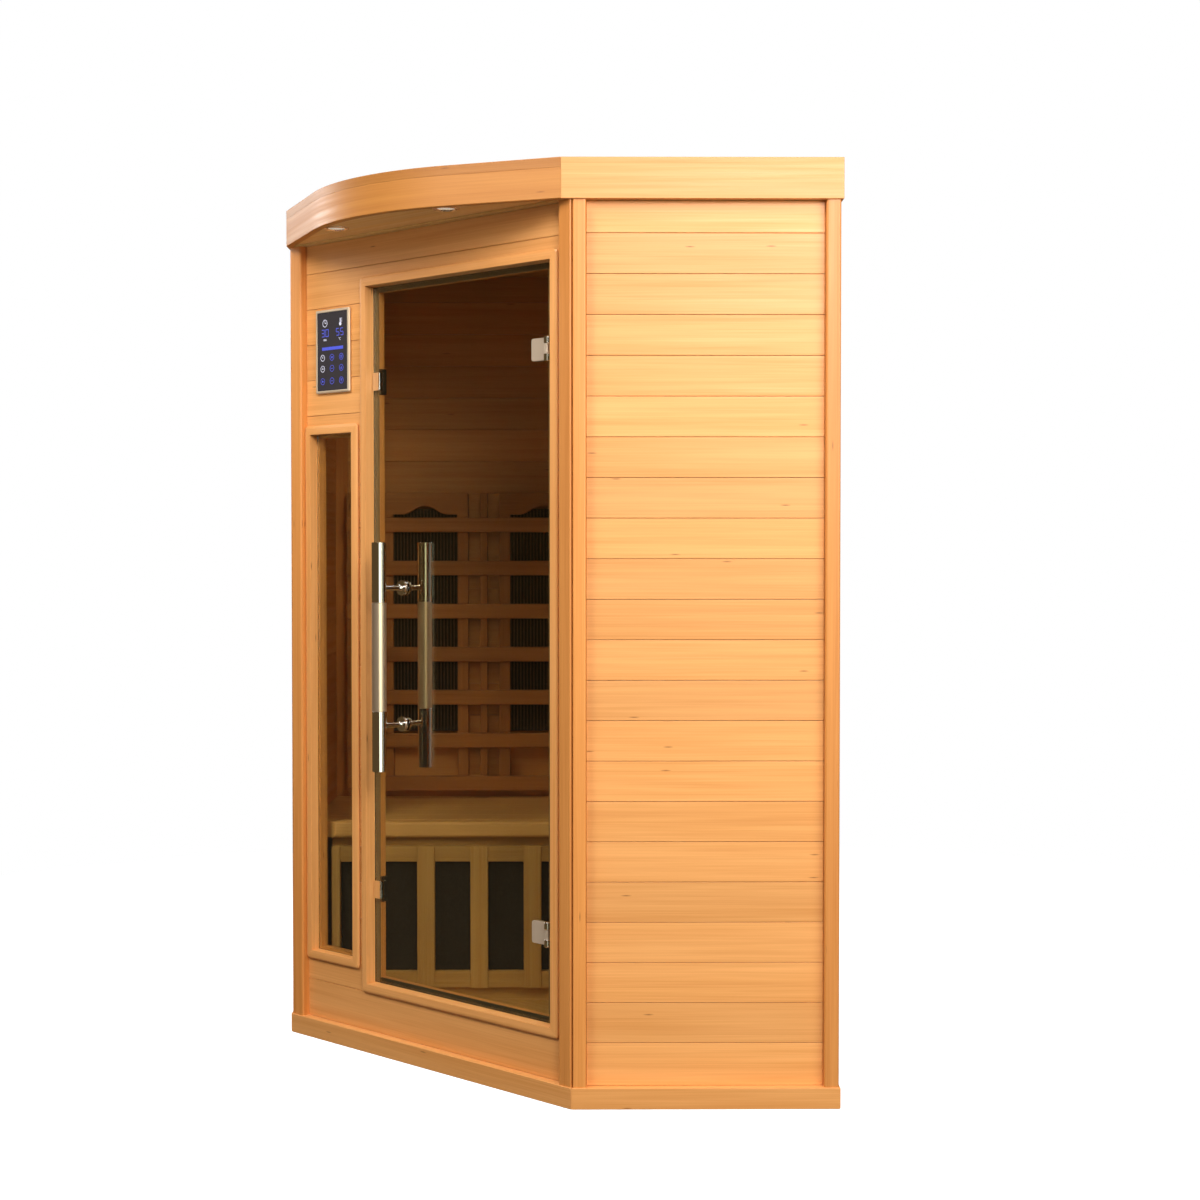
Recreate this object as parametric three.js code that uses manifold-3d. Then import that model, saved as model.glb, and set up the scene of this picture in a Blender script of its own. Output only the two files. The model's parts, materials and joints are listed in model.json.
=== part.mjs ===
// Corner infrared sauna cabin for two, five walls, a glass door in the diagonal front and a bowed roof edge.
// Millimetres, +Z up, front towards -Y. The origin is on the floor under the middle of the cabin's box.
import * as THREE from "three";
import { mergeVertices } from "three/addons/utils/BufferGeometryUtils.js";
import Module from "manifold-3d";

const wasm = await Module();
wasm.setup();

// Cabin plan and height
const cabinSide = 1190; // each back wall outside, from the back corner
const sideLength = 537; // each short side wall
const cabinHeight = 1900;
const fit = 0.3; // gap left where two pieces touch
const touch = 0.4; // gap between a pin and the knuckle that turns on it
const sink = 1; // how far a bolt runs into the plate it is one piece with

// Base
const plinthHeight = 43;
const plinthProud = 3; // plinth ahead of the posts
const plinthWidth = 80;
const floorThickness = 24;

// Wall panels
const wallDepth = 45;
const boardRecess = 18; // board faces behind the post faces
const boardPitch = 81.2;
const firstBoard = 86.5; // lowest board, cut wider than the rest
const grooveWidth = 5;
const grooveDepth = 3;
const frontPostWidth = 38;
const sidePostWidth = 30;
const cornerJoint = 1.5; // half of the open joint between two panels

// Roof
const fasciaHeight = 82;
const fasciaThickness = 16;
const roofProud = 5; // fascias ahead of the posts
const bowRun = 18; // ends of the bowed fascia ahead of the front wall
const bowSlope = 23.5; // straight ends of the bow against the front wall, in degrees
const bowRadius = 550; // face of the arc between the straight ends
const ceilingThickness = 18;
const soffitThickness = 12;
const soffitLift = 4; // soffit above the lower edge of the fascia
const deckThickness = 6;
const deckDrop = 5;

// Downlights in the soffit
const downlightSpacing = 362;
const downlightOut = 84; // ahead of the front wall
const downlightRadius = 24;
const downlightFlange = 28;
const downlightHeight = 38;
const lensRadius = 19;
const lensRecess = 4;
const flangeThickness = 2.5;

// Power supply in the roof space
const powerBoxWidth = 240;
const powerBoxDepth = 160;
const powerBoxClearance = 8; // below the deck
const powerBoxFromCorner = 330; // middle of the box to the back corner
const inletRadius = 12;
const inletFlange = 20;
const inletFlangeHeight = 4;
const inletDepth = 18;
const inletFromCorner = 130;

// Casings around the two openings in the front
const casingWidth = 21;
const casingProud = 8; // casing face ahead of the boards
const linerThickness = 10;
const casingToCasing = 10; // between the casings of the window and the door
const casingToPost = 13.5; // between the casing of the door and the right post

// Door opening, measured inside its casing
const doorBottom = 150; // above the floor
const doorHead = 111; // below the top of the wall
const sealThickness = 4.7;
const glassThickness = 8;
const glassGap = 2; // glass to casing on the latch side, at the top and at the bottom
const glassPastHinge = 2; // glass beyond the hinge axis
const stopLap = 11; // jamb and seal behind the edge of the glass
const jambDepth = 14;

// Hinges
const hingeInset = 22; // hinge axis to the casing
const hingeStandoff = 8; // hinge axis ahead of the glass
const upperHingeFromTop = 175; // hinge middle to the top edge of the glass
const lowerHingeFromBottom = 184;
const hingeHeight = 51; // knuckles and bracket
const knuckleRadius = 6.5;
const knuckleHeight = 20; // middle knuckle, which turns with the door
const knuckleGap = 0.4;
const pinRadius = 2.5;
const hingeArmThickness = 7;
const clampNear = 14; // clamp plates start this far from the axis
const clampWidth = 35;
const clampHeight = 46;
const clampThickness = 5;
const backClampThickness = 4;
const revealPlateThickness = 3;
const revealPlateDepth = 24;
const boltRadius = 4;
const hingeBoltSpacing = 28;

// Magnetic catches and their strike plates
const strikeWidth = 24;
const strikeHeight = 40;
const strikeThickness = 2.5;
const strikeBoltInset = 5; // bolt to the inner edge of the strike plate
const strikeBackThickness = 2;
const strikeBackGap = 0.8; // back plate to the jamb beside it
const upperStrikeFromTop = 209;
const lowerStrikeFromBottom = 209;
const catchInset = 7; // let into the jamb
const catchProud = 6; // past the jamb, behind the strike plate
const catchHeight = 57;
const catchDepth = 17.5;
const catchGap = 0.5;

// Door handles, one bar on each face of the glass
const handleFromEdge = 101; // bar to the latch edge of the glass
const handleMiddle = 888; // above the floor
const handleLength = 500;
const handleRadius = 16;
const handleHoles = 300;
const outerReach = 68; // bar axis to the glass
const innerReach = 58;
const standoffRadius = 8.5;
const rosetteRadius = 17;
const rosetteThickness = 4;
const handleBoltRadius = 4.7;

// Fixed window between the left post and the door, measured as the door is
const windowWidth = 150;
const windowBottom = 198; // above the floor
const windowBelowPanel = 92; // its top below the control panel
const windowGlassSetIn = 9; // back of the glass to the inside of the wall
const windowGlassThickness = 6;
const beadDepth = 10;
const beadLap = 7;

// Control panel above the window
const controlFromWindow = 22; // its left edge to that of the window
const controlWidth = 122;
const controlFromTop = 151; // below the top of the wall
const controlHeight = 190;
const bezelWidth = 6;
const bezelProud = 8;
const controlGlassSetback = 1;
const controlGlassThickness = 5;
const controlBoxInset = 10; // hidden housing behind the edge of the panel
const controlBoxDepth = 24;

// Bench, one half along each back wall
const benchPastCorner = 3; // front edge of the seat beyond the end of the side wall
const benchFromWall = 25; // cut corner of the seat to the inside of the front wall
const seatTop = 490;
const seatThickness = 37;
const apronSetback = 10;
const apronThickness = 20;
const apronTop = 433;
const apronRailHeight = 38;
const apronBottom = 99;
const apronBottomRail = 40;
const apronSlatWidth = 41;
const apronSlatPitch = 124;
const firstApronSlat = 188.5; // middle of the first slat to the outer wall corner
const apronStile = 20;
const kickThickness = 12;
const calfHeaterThickness = 17;
const calfHeaterClearance = 2; // to the boards above and below it

// Backrests and the wall heaters behind them
const backrestFront = 100; // to the outside of the back wall
const backrestStart = 77; // to the outer wall corner
const backrestWidth = 698;
const backrestBottom = 509.5;
const slatHeight = 37;
const slatPitch = 109.5;
const slatCount = 7;
const slatThickness = 18;
const stileWidth = 18;
const archBoardHeight = 63; // above the highest slat
const archBoardWidth = 217; // over the two uprights beside each heater
const archHeight = 30;
const archWidth = 113; // bell over the slot that each arch rises from
const archSlot = 8;
const heaterWidth = 163;
const heaterFromDivider = 148; // middle to middle
const heaterBottom = 660;
const heaterHeight = 566;
const heaterDepth = 33;
const heaterRibs = 9;
const heaterRibWidth = 6;
const heaterRibDepth = 12;

// Facets of the curved pieces
const bowSegments = 16;
const roundSegments = 20;
const boltSegments = 12;
const holeSegments = 8;

// Plan of the post faces: the front wall lies on y = 0 here, symmetric about x = 0
const diagonal = Math.SQRT1_2;
const frontLength = (cabinSide - sideLength) * Math.SQRT2;
const frontHalf = frontLength / 2;
const sideRun = sideLength * diagonal;
const backReach = frontHalf + 2 * sideRun;
const mitre = Math.tan(Math.PI / 8); // run per unit of depth at the two front corners

// Heights
const wallTop = cabinHeight - fasciaHeight;
const floorTop = plinthHeight + floorThickness;
const soffitBottom = wallTop + soffitLift;
const deckTop = cabinHeight - deckDrop;
const deckBottom = deckTop - deckThickness;

// Depths in a wall panel, inwards from the post faces
const casingFace = boardRecess - casingProud;
const glassBack = wallDepth - sealThickness - fit;
const glassFace = glassBack - glassThickness;

// Window opening and control panel
const controlTop = wallTop - controlFromTop;
const windowLeft = frontPostWidth + fit + casingWidth;
const windowEdges = {
  left: windowLeft,
  right: windowLeft + windowWidth,
  bottom: windowBottom,
  top: controlTop - controlHeight - windowBelowPanel,
};
const controlLeft = windowLeft + controlFromWindow;
const controlEdges = {
  left: controlLeft,
  right: controlLeft + controlWidth,
  bottom: controlTop - controlHeight,
  top: controlTop,
};

// Door opening and glass
const doorLeft = windowEdges.right + 2 * casingWidth + casingToCasing;
const doorRight = frontLength - frontPostWidth - casingToPost - casingWidth;
const doorTop = wallTop - doorHead;
const hingeX = doorRight - hingeInset;
const hingeY = glassFace - hingeStandoff;
const glassEdges = {
  left: doorLeft + glassGap,
  right: hingeX + glassPastHinge,
  bottom: doorBottom + glassGap,
  top: doorTop - glassGap,
};
const doorEdges = { left: doorLeft, right: doorRight, bottom: doorBottom, top: doorTop };
const stopEdges = grow(glassEdges, -stopLap);
const hingeMiddles = {
  upper: glassEdges.top - upperHingeFromTop,
  lower: glassEdges.bottom + lowerHingeFromBottom,
};
const strikeMiddles = {
  upper: glassEdges.top - upperStrikeFromTop,
  lower: glassEdges.bottom + lowerStrikeFromBottom,
};
const strikeBoltX = glassEdges.left + strikeWidth - strikeBoltInset;
const catchFace = glassBack + strikeBackThickness + catchGap;
const catchBack = catchFace + catchDepth;
const hingeBoltX = hingeX - clampNear - clampWidth / 2;
const handleX = glassEdges.left + handleFromEdge;
const handleHeights = [handleMiddle - handleHoles / 2, handleMiddle + handleHoles / 2];

// Bowed roof edge: an arc and a straight run at each end of it, up to the front ends of the side fascias
const bowAngle = THREE.MathUtils.degToRad(bowSlope);
const bowSine = Math.sin(bowAngle);
const bowCosine = Math.cos(bowAngle);
const bowHalf = frontHalf + roofProud * Math.SQRT2 - bowRun;
const bowCentre = (bowRadius - bowHalf * bowSine) / bowCosine - bowRun;
const bowLeft = 1.5 * Math.PI - bowAngle;
const bowRight = 1.5 * Math.PI + bowAngle;
const boxFront = bowCentre - bowRadius;
const boxBack = backReach + roofProud * Math.SQRT2;

// Materials
const finish = (color, roughness, metalness = 0, more = {}) =>
  new THREE.MeshStandardMaterial({ color, roughness, metalness, ...more });
const hemlock = finish(0xc98f55, 0.45);
const paleHemlock = finish(0xd6a268, 0.5);
const plywood = finish(0xc2a377, 0.7);
const tintedGlass = finish(0x6a4a30, 0.05, 0, { transparent: true, opacity: 0.35 });
const chrome = finish(0xd8d8d6, 0.12, 1);
const satinSteel = finish(0xbdb8ae, 0.35, 1);
const blackRubber = finish(0x1c1714, 0.7);
const blackGlass = finish(0x0b0d10, 0.08);
const blackPlastic = finish(0x161616, 0.5);
const blackHeater = finish(0x1a1512, 0.6);
const champagne = finish(0xb9a78c, 0.3, 0.8);
const warmLens = finish(0xfff0d0, 0.3);

// Geometry helpers

function grow(edges, by) {
  return {
    left: edges.left - by,
    right: edges.right + by,
    bottom: edges.bottom - by,
    top: edges.top + by,
  };
}

function box(x0, x1, y0, y1, z0, z1) {
  const geometry = new THREE.BoxGeometry(x1 - x0, y1 - y0, z1 - z0);
  return geometry.translate((x0 + x1) / 2, (y0 + y1) / 2, (z0 + z1) / 2);
}

function polygon(points) {
  return new THREE.Shape(points.map(([x, y]) => new THREE.Vector2(x, y)));
}

function extrude(shape, depth, curveSegments = holeSegments) {
  return new THREE.ExtrudeGeometry(shape, { depth, bevelEnabled: false, curveSegments });
}

// A plan shape raised from z0 to z1
function prism(shape, z0, z1, curveSegments) {
  return extrude(shape, z1 - z0, curveSegments).translate(0, 0, z0);
}

// A shape drawn on a wall, in x and z, carried through the depths y0 to y1
function onWall(shape, y0, y1, curveSegments) {
  return extrude(shape, y1 - y0, curveSegments).rotateX(Math.PI / 2).translate(0, y1, 0);
}

// A section drawn in y and z, carried along x
function alongWall(shape, x0, x1) {
  const turn = new THREE.Matrix4().makeBasis(
    new THREE.Vector3(0, 1, 0),
    new THREE.Vector3(0, 0, 1),
    new THREE.Vector3(1, 0, 0),
  );
  return extrude(shape, x1 - x0).applyMatrix4(turn).translate(x0, 0, 0);
}

function rectangle(edges) {
  return polygon([
    [edges.left, edges.bottom],
    [edges.right, edges.bottom],
    [edges.right, edges.top],
    [edges.left, edges.top],
  ]);
}

function ring(outer, inner) {
  const shape = rectangle(outer);
  shape.holes.push(rectangle(inner));
  return shape;
}

function roundHole(x, y, radius) {
  return new THREE.Path().absarc(x, y, radius, 0, 2 * Math.PI, true);
}

function uprightRod(radius, x, y, z0, z1, segments = roundSegments) {
  const rod = new THREE.CylinderGeometry(radius, radius, z1 - z0, segments);
  return rod.rotateX(Math.PI / 2).translate(x, y, (z0 + z1) / 2);
}

// A rod that runs inwards, from depth y0 to y1
function throughRod(radius, x, z, y0, y1, segments = roundSegments) {
  return new THREE.CylinderGeometry(radius, radius, y1 - y0, segments).translate(x, (y0 + y1) / 2, z);
}

function turned(profile, x, y) {
  const points = profile.map(([radius, z]) => new THREE.Vector2(radius, z));
  return new THREE.LatheGeometry(points, roundSegments).rotateX(Math.PI / 2).translate(x, y, 0);
}

function solid(geometry) {
  const loose = geometry.index ? geometry.toNonIndexed() : geometry;
  const bare = new THREE.BufferGeometry().setAttribute("position", loose.getAttribute("position"));
  const merged = mergeVertices(bare, 1e-4);
  const corners = merged.index.array;
  const triVerts = [];
  for (let i = 0; i < corners.length; i += 3) {
    const [a, b, c] = [corners[i], corners[i + 1], corners[i + 2]];
    if (a !== b && b !== c && c !== a) triVerts.push(a, b, c);
  }
  return new wasm.Manifold(
    new wasm.Mesh({
      numProp: 3,
      vertProperties: merged.getAttribute("position").array,
      triVerts: new Uint32Array(triVerts),
    }),
  );
}

function geometryOf(manifold) {
  const mesh = manifold.getMesh();
  const indexed = new THREE.BufferGeometry()
    .setAttribute("position", new THREE.BufferAttribute(mesh.vertProperties, 3))
    .setIndex(new THREE.BufferAttribute(mesh.triVerts, 1));
  const faceted = indexed.toNonIndexed();
  faceted.computeVertexNormals();
  return faceted;
}

function join(...geometries) {
  return geometryOf(geometries.map(solid).reduce((whole, piece) => whole.add(piece)));
}

function cut(geometry, ...tools) {
  return geometryOf(tools.map(solid).reduce((whole, tool) => whole.subtract(tool), solid(geometry)));
}

function add(group, name, geometry, material) {
  const mesh = new THREE.Mesh(geometry, material);
  mesh.name = name;
  group.add(mesh);
}

// Corners of the five walls moved inwards: back, left rear, left front, right front, right rear
function plan(inset) {
  const slant = inset * Math.SQRT2;
  return [
    [0, backReach - slant],
    [-frontHalf - sideRun + slant, sideRun],
    [-frontHalf + slant - inset, inset],
    [frontHalf - slant + inset, inset],
    [frontHalf + sideRun - slant, sideRun],
  ];
}

// Boards with a V groove at each joint on both faces, as a section in depth and height
function boardSection() {
  const joints = [];
  for (let z = plinthHeight + firstBoard; z < wallTop - grooveWidth; z += boardPitch) joints.push(z);
  const face = (y, into) =>
    joints.flatMap((z) => [
      [y, z - grooveWidth / 2],
      [y + into, z],
      [y, z + grooveWidth / 2],
    ]);
  return polygon([
    [boardRecess, plinthHeight],
    ...face(boardRecess, grooveDepth),
    [boardRecess, wallTop],
    [wallDepth, wallTop],
    ...face(wallDepth, -grooveDepth).reverse(),
    [wallDepth, plinthHeight],
  ]);
}

// A post whose end is cut on the bisector of a front corner, with the open joint beside it
function mitredPost(width) {
  return polygon([
    [cornerJoint, 0],
    [width, 0],
    [width, wallDepth],
    [cornerJoint + mitre * wallDepth, wallDepth],
  ]);
}

// A flat casing on the boards with a liner that goes in through the wall
function casing(opening) {
  const flange = onWall(ring(grow(opening, casingWidth), opening), casingFace, boardRecess);
  const liner = onWall(ring(grow(opening, linerThickness), opening), casingFace, wallDepth);
  return join(flange, liner);
}

// The frame of the part: the plan moved so that the box is centred on the origin
const cabin = new THREE.Group();
cabin.position.y = -(boxFront + boxBack) / 2;
const frontWall = new THREE.Group();
frontWall.position.x = -frontHalf;
cabin.add(frontWall);

// Base: a ring of plinth rails, and the floor inside the walls
const plinthShape = polygon(plan(-plinthProud));
plinthShape.holes.push(polygon(plan(plinthWidth - plinthProud)));
add(cabin, "base_plinth", prism(plinthShape, 0, plinthHeight), hemlock);
add(cabin, "floor_panel", prism(polygon(plan(wallDepth + fit)), plinthHeight, floorTop), paleHemlock);

// Front wall
const frontBoards = cut(
  alongWall(boardSection(), frontPostWidth + fit, frontLength - frontPostWidth - fit),
  ...[
    grow(doorEdges, linerThickness + fit),
    grow(windowEdges, linerThickness + fit),
    grow(controlEdges, fit - controlBoxInset),
  ].map((hole) => onWall(rectangle(hole), 0, wallDepth + boardRecess)),
);
add(frontWall, "front_wall_boards", frontBoards, hemlock);
add(frontWall, "door_casing", casing(doorEdges), hemlock);
const catchPockets = Object.values(strikeMiddles).map((z) =>
  box(
    stopEdges.left - catchInset - fit,
    stopEdges.left + catchProud,
    glassBack,
    catchBack,
    z - catchHeight / 2 - fit,
    z + catchHeight / 2 + fit,
  ),
);
const jambFrame = onWall(ring(grow(doorEdges, casingWidth), stopEdges), wallDepth, wallDepth + jambDepth);
add(frontWall, "door_jamb", cut(jambFrame, ...catchPockets), hemlock);
const sealRing = onWall(ring(glassEdges, stopEdges), glassBack + fit, wallDepth);
add(frontWall, "door_seal", cut(sealRing, ...catchPockets), blackRubber);
add(frontWall, "window_casing", casing(windowEdges), hemlock);
const windowBack = wallDepth - windowGlassSetIn;
add(
  frontWall,
  "window_glass",
  onWall(rectangle(grow(windowEdges, -fit)), windowBack - windowGlassThickness, windowBack),
  tintedGlass,
);
const beadEdges = grow(windowEdges, -beadLap);
const beadBack = wallDepth + beadDepth;
const beadFlange = onWall(ring(grow(windowEdges, casingWidth), beadEdges), wallDepth, beadBack);
const beadLip = onWall(ring(grow(windowEdges, -fit), beadEdges), windowBack + fit, beadBack);
add(frontWall, "window_bead", join(beadFlange, beadLip), hemlock);

// Control panel: a bezel on the boards, its glass face, and the housing let into the wall
const bezelFace = boardRecess - bezelProud;
const bezelOpening = grow(controlEdges, -bezelWidth);
const controlGlassFace = bezelFace + controlGlassSetback;
add(frontWall, "control_bezel", onWall(ring(controlEdges, bezelOpening), bezelFace, boardRecess), champagne);
add(
  frontWall,
  "control_glass",
  onWall(rectangle(grow(bezelOpening, -fit)), controlGlassFace, controlGlassFace + controlGlassThickness),
  blackGlass,
);
add(
  frontWall,
  "control_box",
  onWall(
    rectangle(grow(controlEdges, -controlBoxInset)),
    controlGlassFace + controlGlassThickness + fit,
    boardRecess + controlBoxDepth,
  ),
  blackPlastic,
);

// Ceiling inside the fascias, resting on the walls
const fasciaInset = fasciaThickness - roofProud;
const [backIn, rearLeftIn, , , rearRightIn] = plan(fasciaInset + fit);
const sideInX = frontHalf - (fasciaInset + fit) * Math.SQRT2; // inside of the side fascia on the front line
const ceilingShape = polygon([backIn, rearLeftIn, [-sideInX, 0], [sideInX, 0], rearRightIn]);
add(cabin, "ceiling_panel", prism(ceilingShape, wallTop, wallTop + ceilingThickness), paleHemlock);

// Inside of the bowed fascia, up to where its straight ends meet the insides of the side fascias
const innerBow = bowRadius - fasciaThickness - fit;
const meetingX = ((sideInX + bowCentre) * bowCosine - innerBow) / (bowCosine - bowSine);
const meetingY = meetingX - sideInX;

const soffitShape = new THREE.Shape();
soffitShape.moveTo(sideInX - fit, -fit);
soffitShape.lineTo(fit - sideInX, -fit);
soffitShape.lineTo(-meetingX, meetingY);
soffitShape.absarc(0, bowCentre, innerBow, bowLeft, bowRight, false);
soffitShape.lineTo(meetingX, meetingY);
const downlightX = downlightSpacing / 2;
for (const x of [-downlightX, downlightX])
  soffitShape.holes.push(roundHole(x, -downlightOut, downlightRadius + fit));
add(
  cabin,
  "front_soffit",
  prism(soffitShape, soffitBottom, soffitBottom + soffitThickness, bowSegments),
  paleHemlock,
);

const inletY = backReach - inletFromCorner;
const deckShape = new THREE.Shape();
deckShape.moveTo(...backIn);
deckShape.lineTo(...rearLeftIn);
deckShape.lineTo(-meetingX, meetingY);
deckShape.absarc(0, bowCentre, innerBow, bowLeft, bowRight, false);
deckShape.lineTo(meetingX, meetingY);
deckShape.lineTo(...rearRightIn);
deckShape.holes.push(roundHole(0, inletY, inletRadius + fit));
add(cabin, "roof_deck", prism(deckShape, deckBottom, deckTop, bowSegments), plywood);

// Bowed front fascia, its ends cut square to the side fascias it meets
const endReach = 4 * fasciaThickness;
const bowStraight = (bowHalf - bowRadius * bowSine) / bowCosine + endReach / 2; // past the cut
const bowTip = (radius, flip) => [
  flip * (radius * bowSine + bowStraight * bowCosine),
  bowCentre - radius * bowCosine + bowStraight * bowSine,
];
const bandInner = bowRadius - fasciaThickness;
const bowBand = new THREE.Shape();
bowBand.moveTo(...bowTip(bowRadius, -1));
bowBand.absarc(0, bowCentre, bowRadius, bowLeft, bowRight, false);
bowBand.lineTo(...bowTip(bowRadius, 1));
bowBand.lineTo(...bowTip(bandInner, 1));
bowBand.absarc(0, bowCentre, bandInner, bowRight, bowLeft, true);
bowBand.lineTo(...bowTip(bandInner, -1));
const bowEndCut = (flip) => {
  const end = new THREE.Vector2(bowHalf - fit, -bowRun - fit);
  const inward = new THREE.Vector2(-diagonal, diagonal).multiplyScalar(endReach);
  const back = new THREE.Vector2(diagonal, diagonal).multiplyScalar(endReach);
  const corners = [
    end.clone().add(inward),
    end.clone().sub(inward),
    end.clone().sub(inward).add(back),
    end.clone().add(inward).add(back),
  ];
  return prism(polygon(corners.map((c) => [c.x * flip, c.y])), wallTop - endReach, cabinHeight + endReach);
};
add(
  cabin,
  "front_fascia",
  cut(prism(bowBand, wallTop, cabinHeight, bowSegments), bowEndCut(1), bowEndCut(-1)),
  hemlock,
);

// Power supply on the ceiling and the mains inlet in the deck above it
const powerBoxY = backReach - powerBoxFromCorner;
const ceilingTop = wallTop + ceilingThickness;
add(
  cabin,
  "power_box",
  box(
    -powerBoxWidth / 2,
    powerBoxWidth / 2,
    powerBoxY - powerBoxDepth / 2,
    powerBoxY + powerBoxDepth / 2,
    ceilingTop,
    deckBottom - powerBoxClearance,
  ),
  satinSteel,
);
const inletProfile = [
  [0, deckBottom - inletDepth],
  [inletRadius, deckBottom - inletDepth],
  [inletRadius, deckTop],
  [inletFlange, deckTop],
  [inletFlange, deckTop + inletFlangeHeight],
  [0, deckTop + inletFlangeHeight],
];
add(cabin, "mains_inlet", turned(inletProfile, 0, inletY), blackPlastic);

// Pieces that each half of the cabin has, drawn on the right and mirrored to the left
const downlightProfile = [
  [0, soffitBottom - flangeThickness + lensRecess],
  [lensRadius, soffitBottom - flangeThickness + lensRecess],
  [(lensRadius + downlightRadius) / 2, soffitBottom - flangeThickness],
  [downlightFlange, soffitBottom - flangeThickness],
  [downlightFlange, soffitBottom],
  [downlightRadius, soffitBottom],
  [downlightRadius, soffitBottom + downlightHeight],
  [0, soffitBottom + downlightHeight],
];

const sideBoards = alongWall(boardSection(), sidePostWidth + fit, sideLength - sidePostWidth - fit);
const outerPostStart = wallDepth + fit; // the back wall stands inside the side wall
const outerPostEnd = outerPostStart + sidePostWidth;
const cornerPostStart = cabinSide - wallDepth;
const backBoards = alongWall(boardSection(), outerPostEnd + fit, cornerPostStart - fit);

// A fascia along a wall from x0 to x1, ahead of the post faces
const fascia = (x0, x1) => box(x0, x1, -roofProud, fasciaInset, wallTop, cabinHeight);

// Bench half: its front corner is cut back to clear the frames behind the front wall
const benchFront = sideLength + benchPastCorner; // to the outside of the back wall
const seatBack = wallDepth + fit;
const benchCut = (wallDepth + benchFromWall + fit) * Math.SQRT2;
const frontClear = (depth) => depth - sideLength + benchCut;
const seatShape = polygon([
  [seatBack, seatBack],
  [cabinSide - seatBack - fit, seatBack],
  [cabinSide - benchFront - fit, benchFront],
  [frontClear(benchFront), benchFront],
  [seatBack, sideLength - benchCut + seatBack],
]);
const seatBottom = seatTop - seatThickness;

const apronFace = benchFront - apronSetback;
const apronBack = apronFace - apronThickness;
const apronStart = frontClear(apronFace);
const apronEnd = cabinSide - apronFace - fit;
const kickBack = apronBack - kickThickness;
const apronOpenBottom = apronBottom + apronBottomRail;
const apronOpenTop = apronTop - apronRailHeight;
const lap = 3; // how far the boards behind the apron and the backrest reach into their slats

function apron() {
  const slat = (x0, x1) => box(x0, x1, apronBack, apronFace, apronBottom, apronTop);
  const slats = [slat(apronStart, apronStart + apronStile), slat(apronEnd - apronStile, apronEnd)];
  const lastSlat = apronEnd - apronStile - apronSlatWidth / 2;
  for (let middle = firstApronSlat; middle < lastSlat; middle += apronSlatPitch)
    slats.push(slat(middle - apronSlatWidth / 2, middle + apronSlatWidth / 2));
  return join(
    box(apronStart, apronEnd, apronBack, apronFace, apronBottom, apronOpenBottom),
    box(apronStart, apronEnd, apronBack, apronFace, apronOpenTop, apronTop),
    box(apronStart, apronEnd, kickBack, apronBack + lap, floorTop, apronBottom + lap),
    box(apronStart, apronEnd, kickBack, apronBack + lap, apronTop - lap, seatBottom),
    ...slats,
  );
}

// Backrest: slats on stiles and uprights that stand on the wall, an arched board over each heater
const backrestEnd = backrestStart + backrestWidth;
const dividerMiddle = (backrestStart + backrestEnd) / 2;
const slatBack = backrestFront - slatThickness;
const highestSlat = backrestBottom + (slatCount - 1) * slatPitch;
const archBottom = highestSlat + slatHeight;
const backrestTop = archBottom + archBoardHeight;
const heaterMiddles = [dividerMiddle - heaterFromDivider, dividerMiddle + heaterFromDivider];

function backrest() {
  const wallFace = wallDepth + fit;
  const stiles = [backrestStart, dividerMiddle - stileWidth / 2, backrestEnd - stileWidth].map((x) =>
    box(x, x + stileWidth, wallFace, backrestFront, backrestBottom, backrestTop),
  );
  const slats = [];
  for (let i = 0; i < slatCount; i += 1) {
    const z = backrestBottom + i * slatPitch;
    slats.push(box(backrestStart, backrestEnd, slatBack, backrestFront, z, z + slatHeight));
  }
  const upright = (x0, x1) => box(x0, x1, wallFace, slatBack + lap, backrestBottom, backrestTop);
  const heaterHalf = heaterWidth / 2 + fit;
  const uprights = heaterMiddles.flatMap((x) => [
    upright(x - archBoardWidth / 2, x - heaterHalf),
    upright(x + heaterHalf, x + archBoardWidth / 2),
  ]);
  const archBoards = heaterMiddles.map((x) => {
    const slot = archBottom + archSlot;
    const peak = archBottom + archHeight;
    const left = x - archBoardWidth / 2;
    const board = box(left, left + archBoardWidth, slatBack, backrestFront, archBottom, backrestTop);
    const arch = polygon([
      [x - heaterWidth / 2, archBottom],
      [x + heaterWidth / 2, archBottom],
      [x + heaterWidth / 2, slot],
      [x + archWidth / 2, slot],
    ]);
    arch.bezierCurveTo(x + archWidth / 4, slot, x + archWidth / 4, peak, x, peak);
    arch.bezierCurveTo(x - archWidth / 4, peak, x - archWidth / 4, slot, x - archWidth / 2, slot);
    arch.lineTo(x - heaterWidth / 2, slot);
    return cut(board, onWall(arch, wallDepth, 2 * backrestFront));
  });
  return join(...slats, ...stiles, ...uprights, ...archBoards);
}

// Wall heater: a housing with upright bars across its face
function heater(middle) {
  const back = wallDepth + fit;
  const face = back + heaterDepth;
  const barPitch = (heaterWidth - heaterRibWidth) / (heaterRibs - 1);
  const housing = box(
    middle - heaterWidth / 2,
    middle + heaterWidth / 2,
    back,
    face - heaterRibDepth,
    heaterBottom,
    heaterBottom + heaterHeight,
  );
  const bars = [];
  for (let i = 0; i < heaterRibs; i += 1) {
    const x = middle - heaterWidth / 2 + i * barPitch;
    const barBack = face - 2 * heaterRibDepth; // let into the housing
    bars.push(box(x, x + heaterRibWidth, barBack, face, heaterBottom, heaterBottom + heaterHeight));
  }
  return join(housing, ...bars);
}

const calfHeaterBottom = apronBottom + lap + calfHeaterClearance;
const calfHeaterTop = apronTop - lap - calfHeaterClearance;
const calfHeater = box(
  apronStart + apronStile,
  apronEnd - apronStile,
  apronBack - fit - calfHeaterThickness,
  apronBack - fit,
  calfHeaterBottom,
  calfHeaterTop,
);
const apronShape = apron();
const backrestShape = backrest();
const heaterShapes = heaterMiddles.map(heater);

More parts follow.
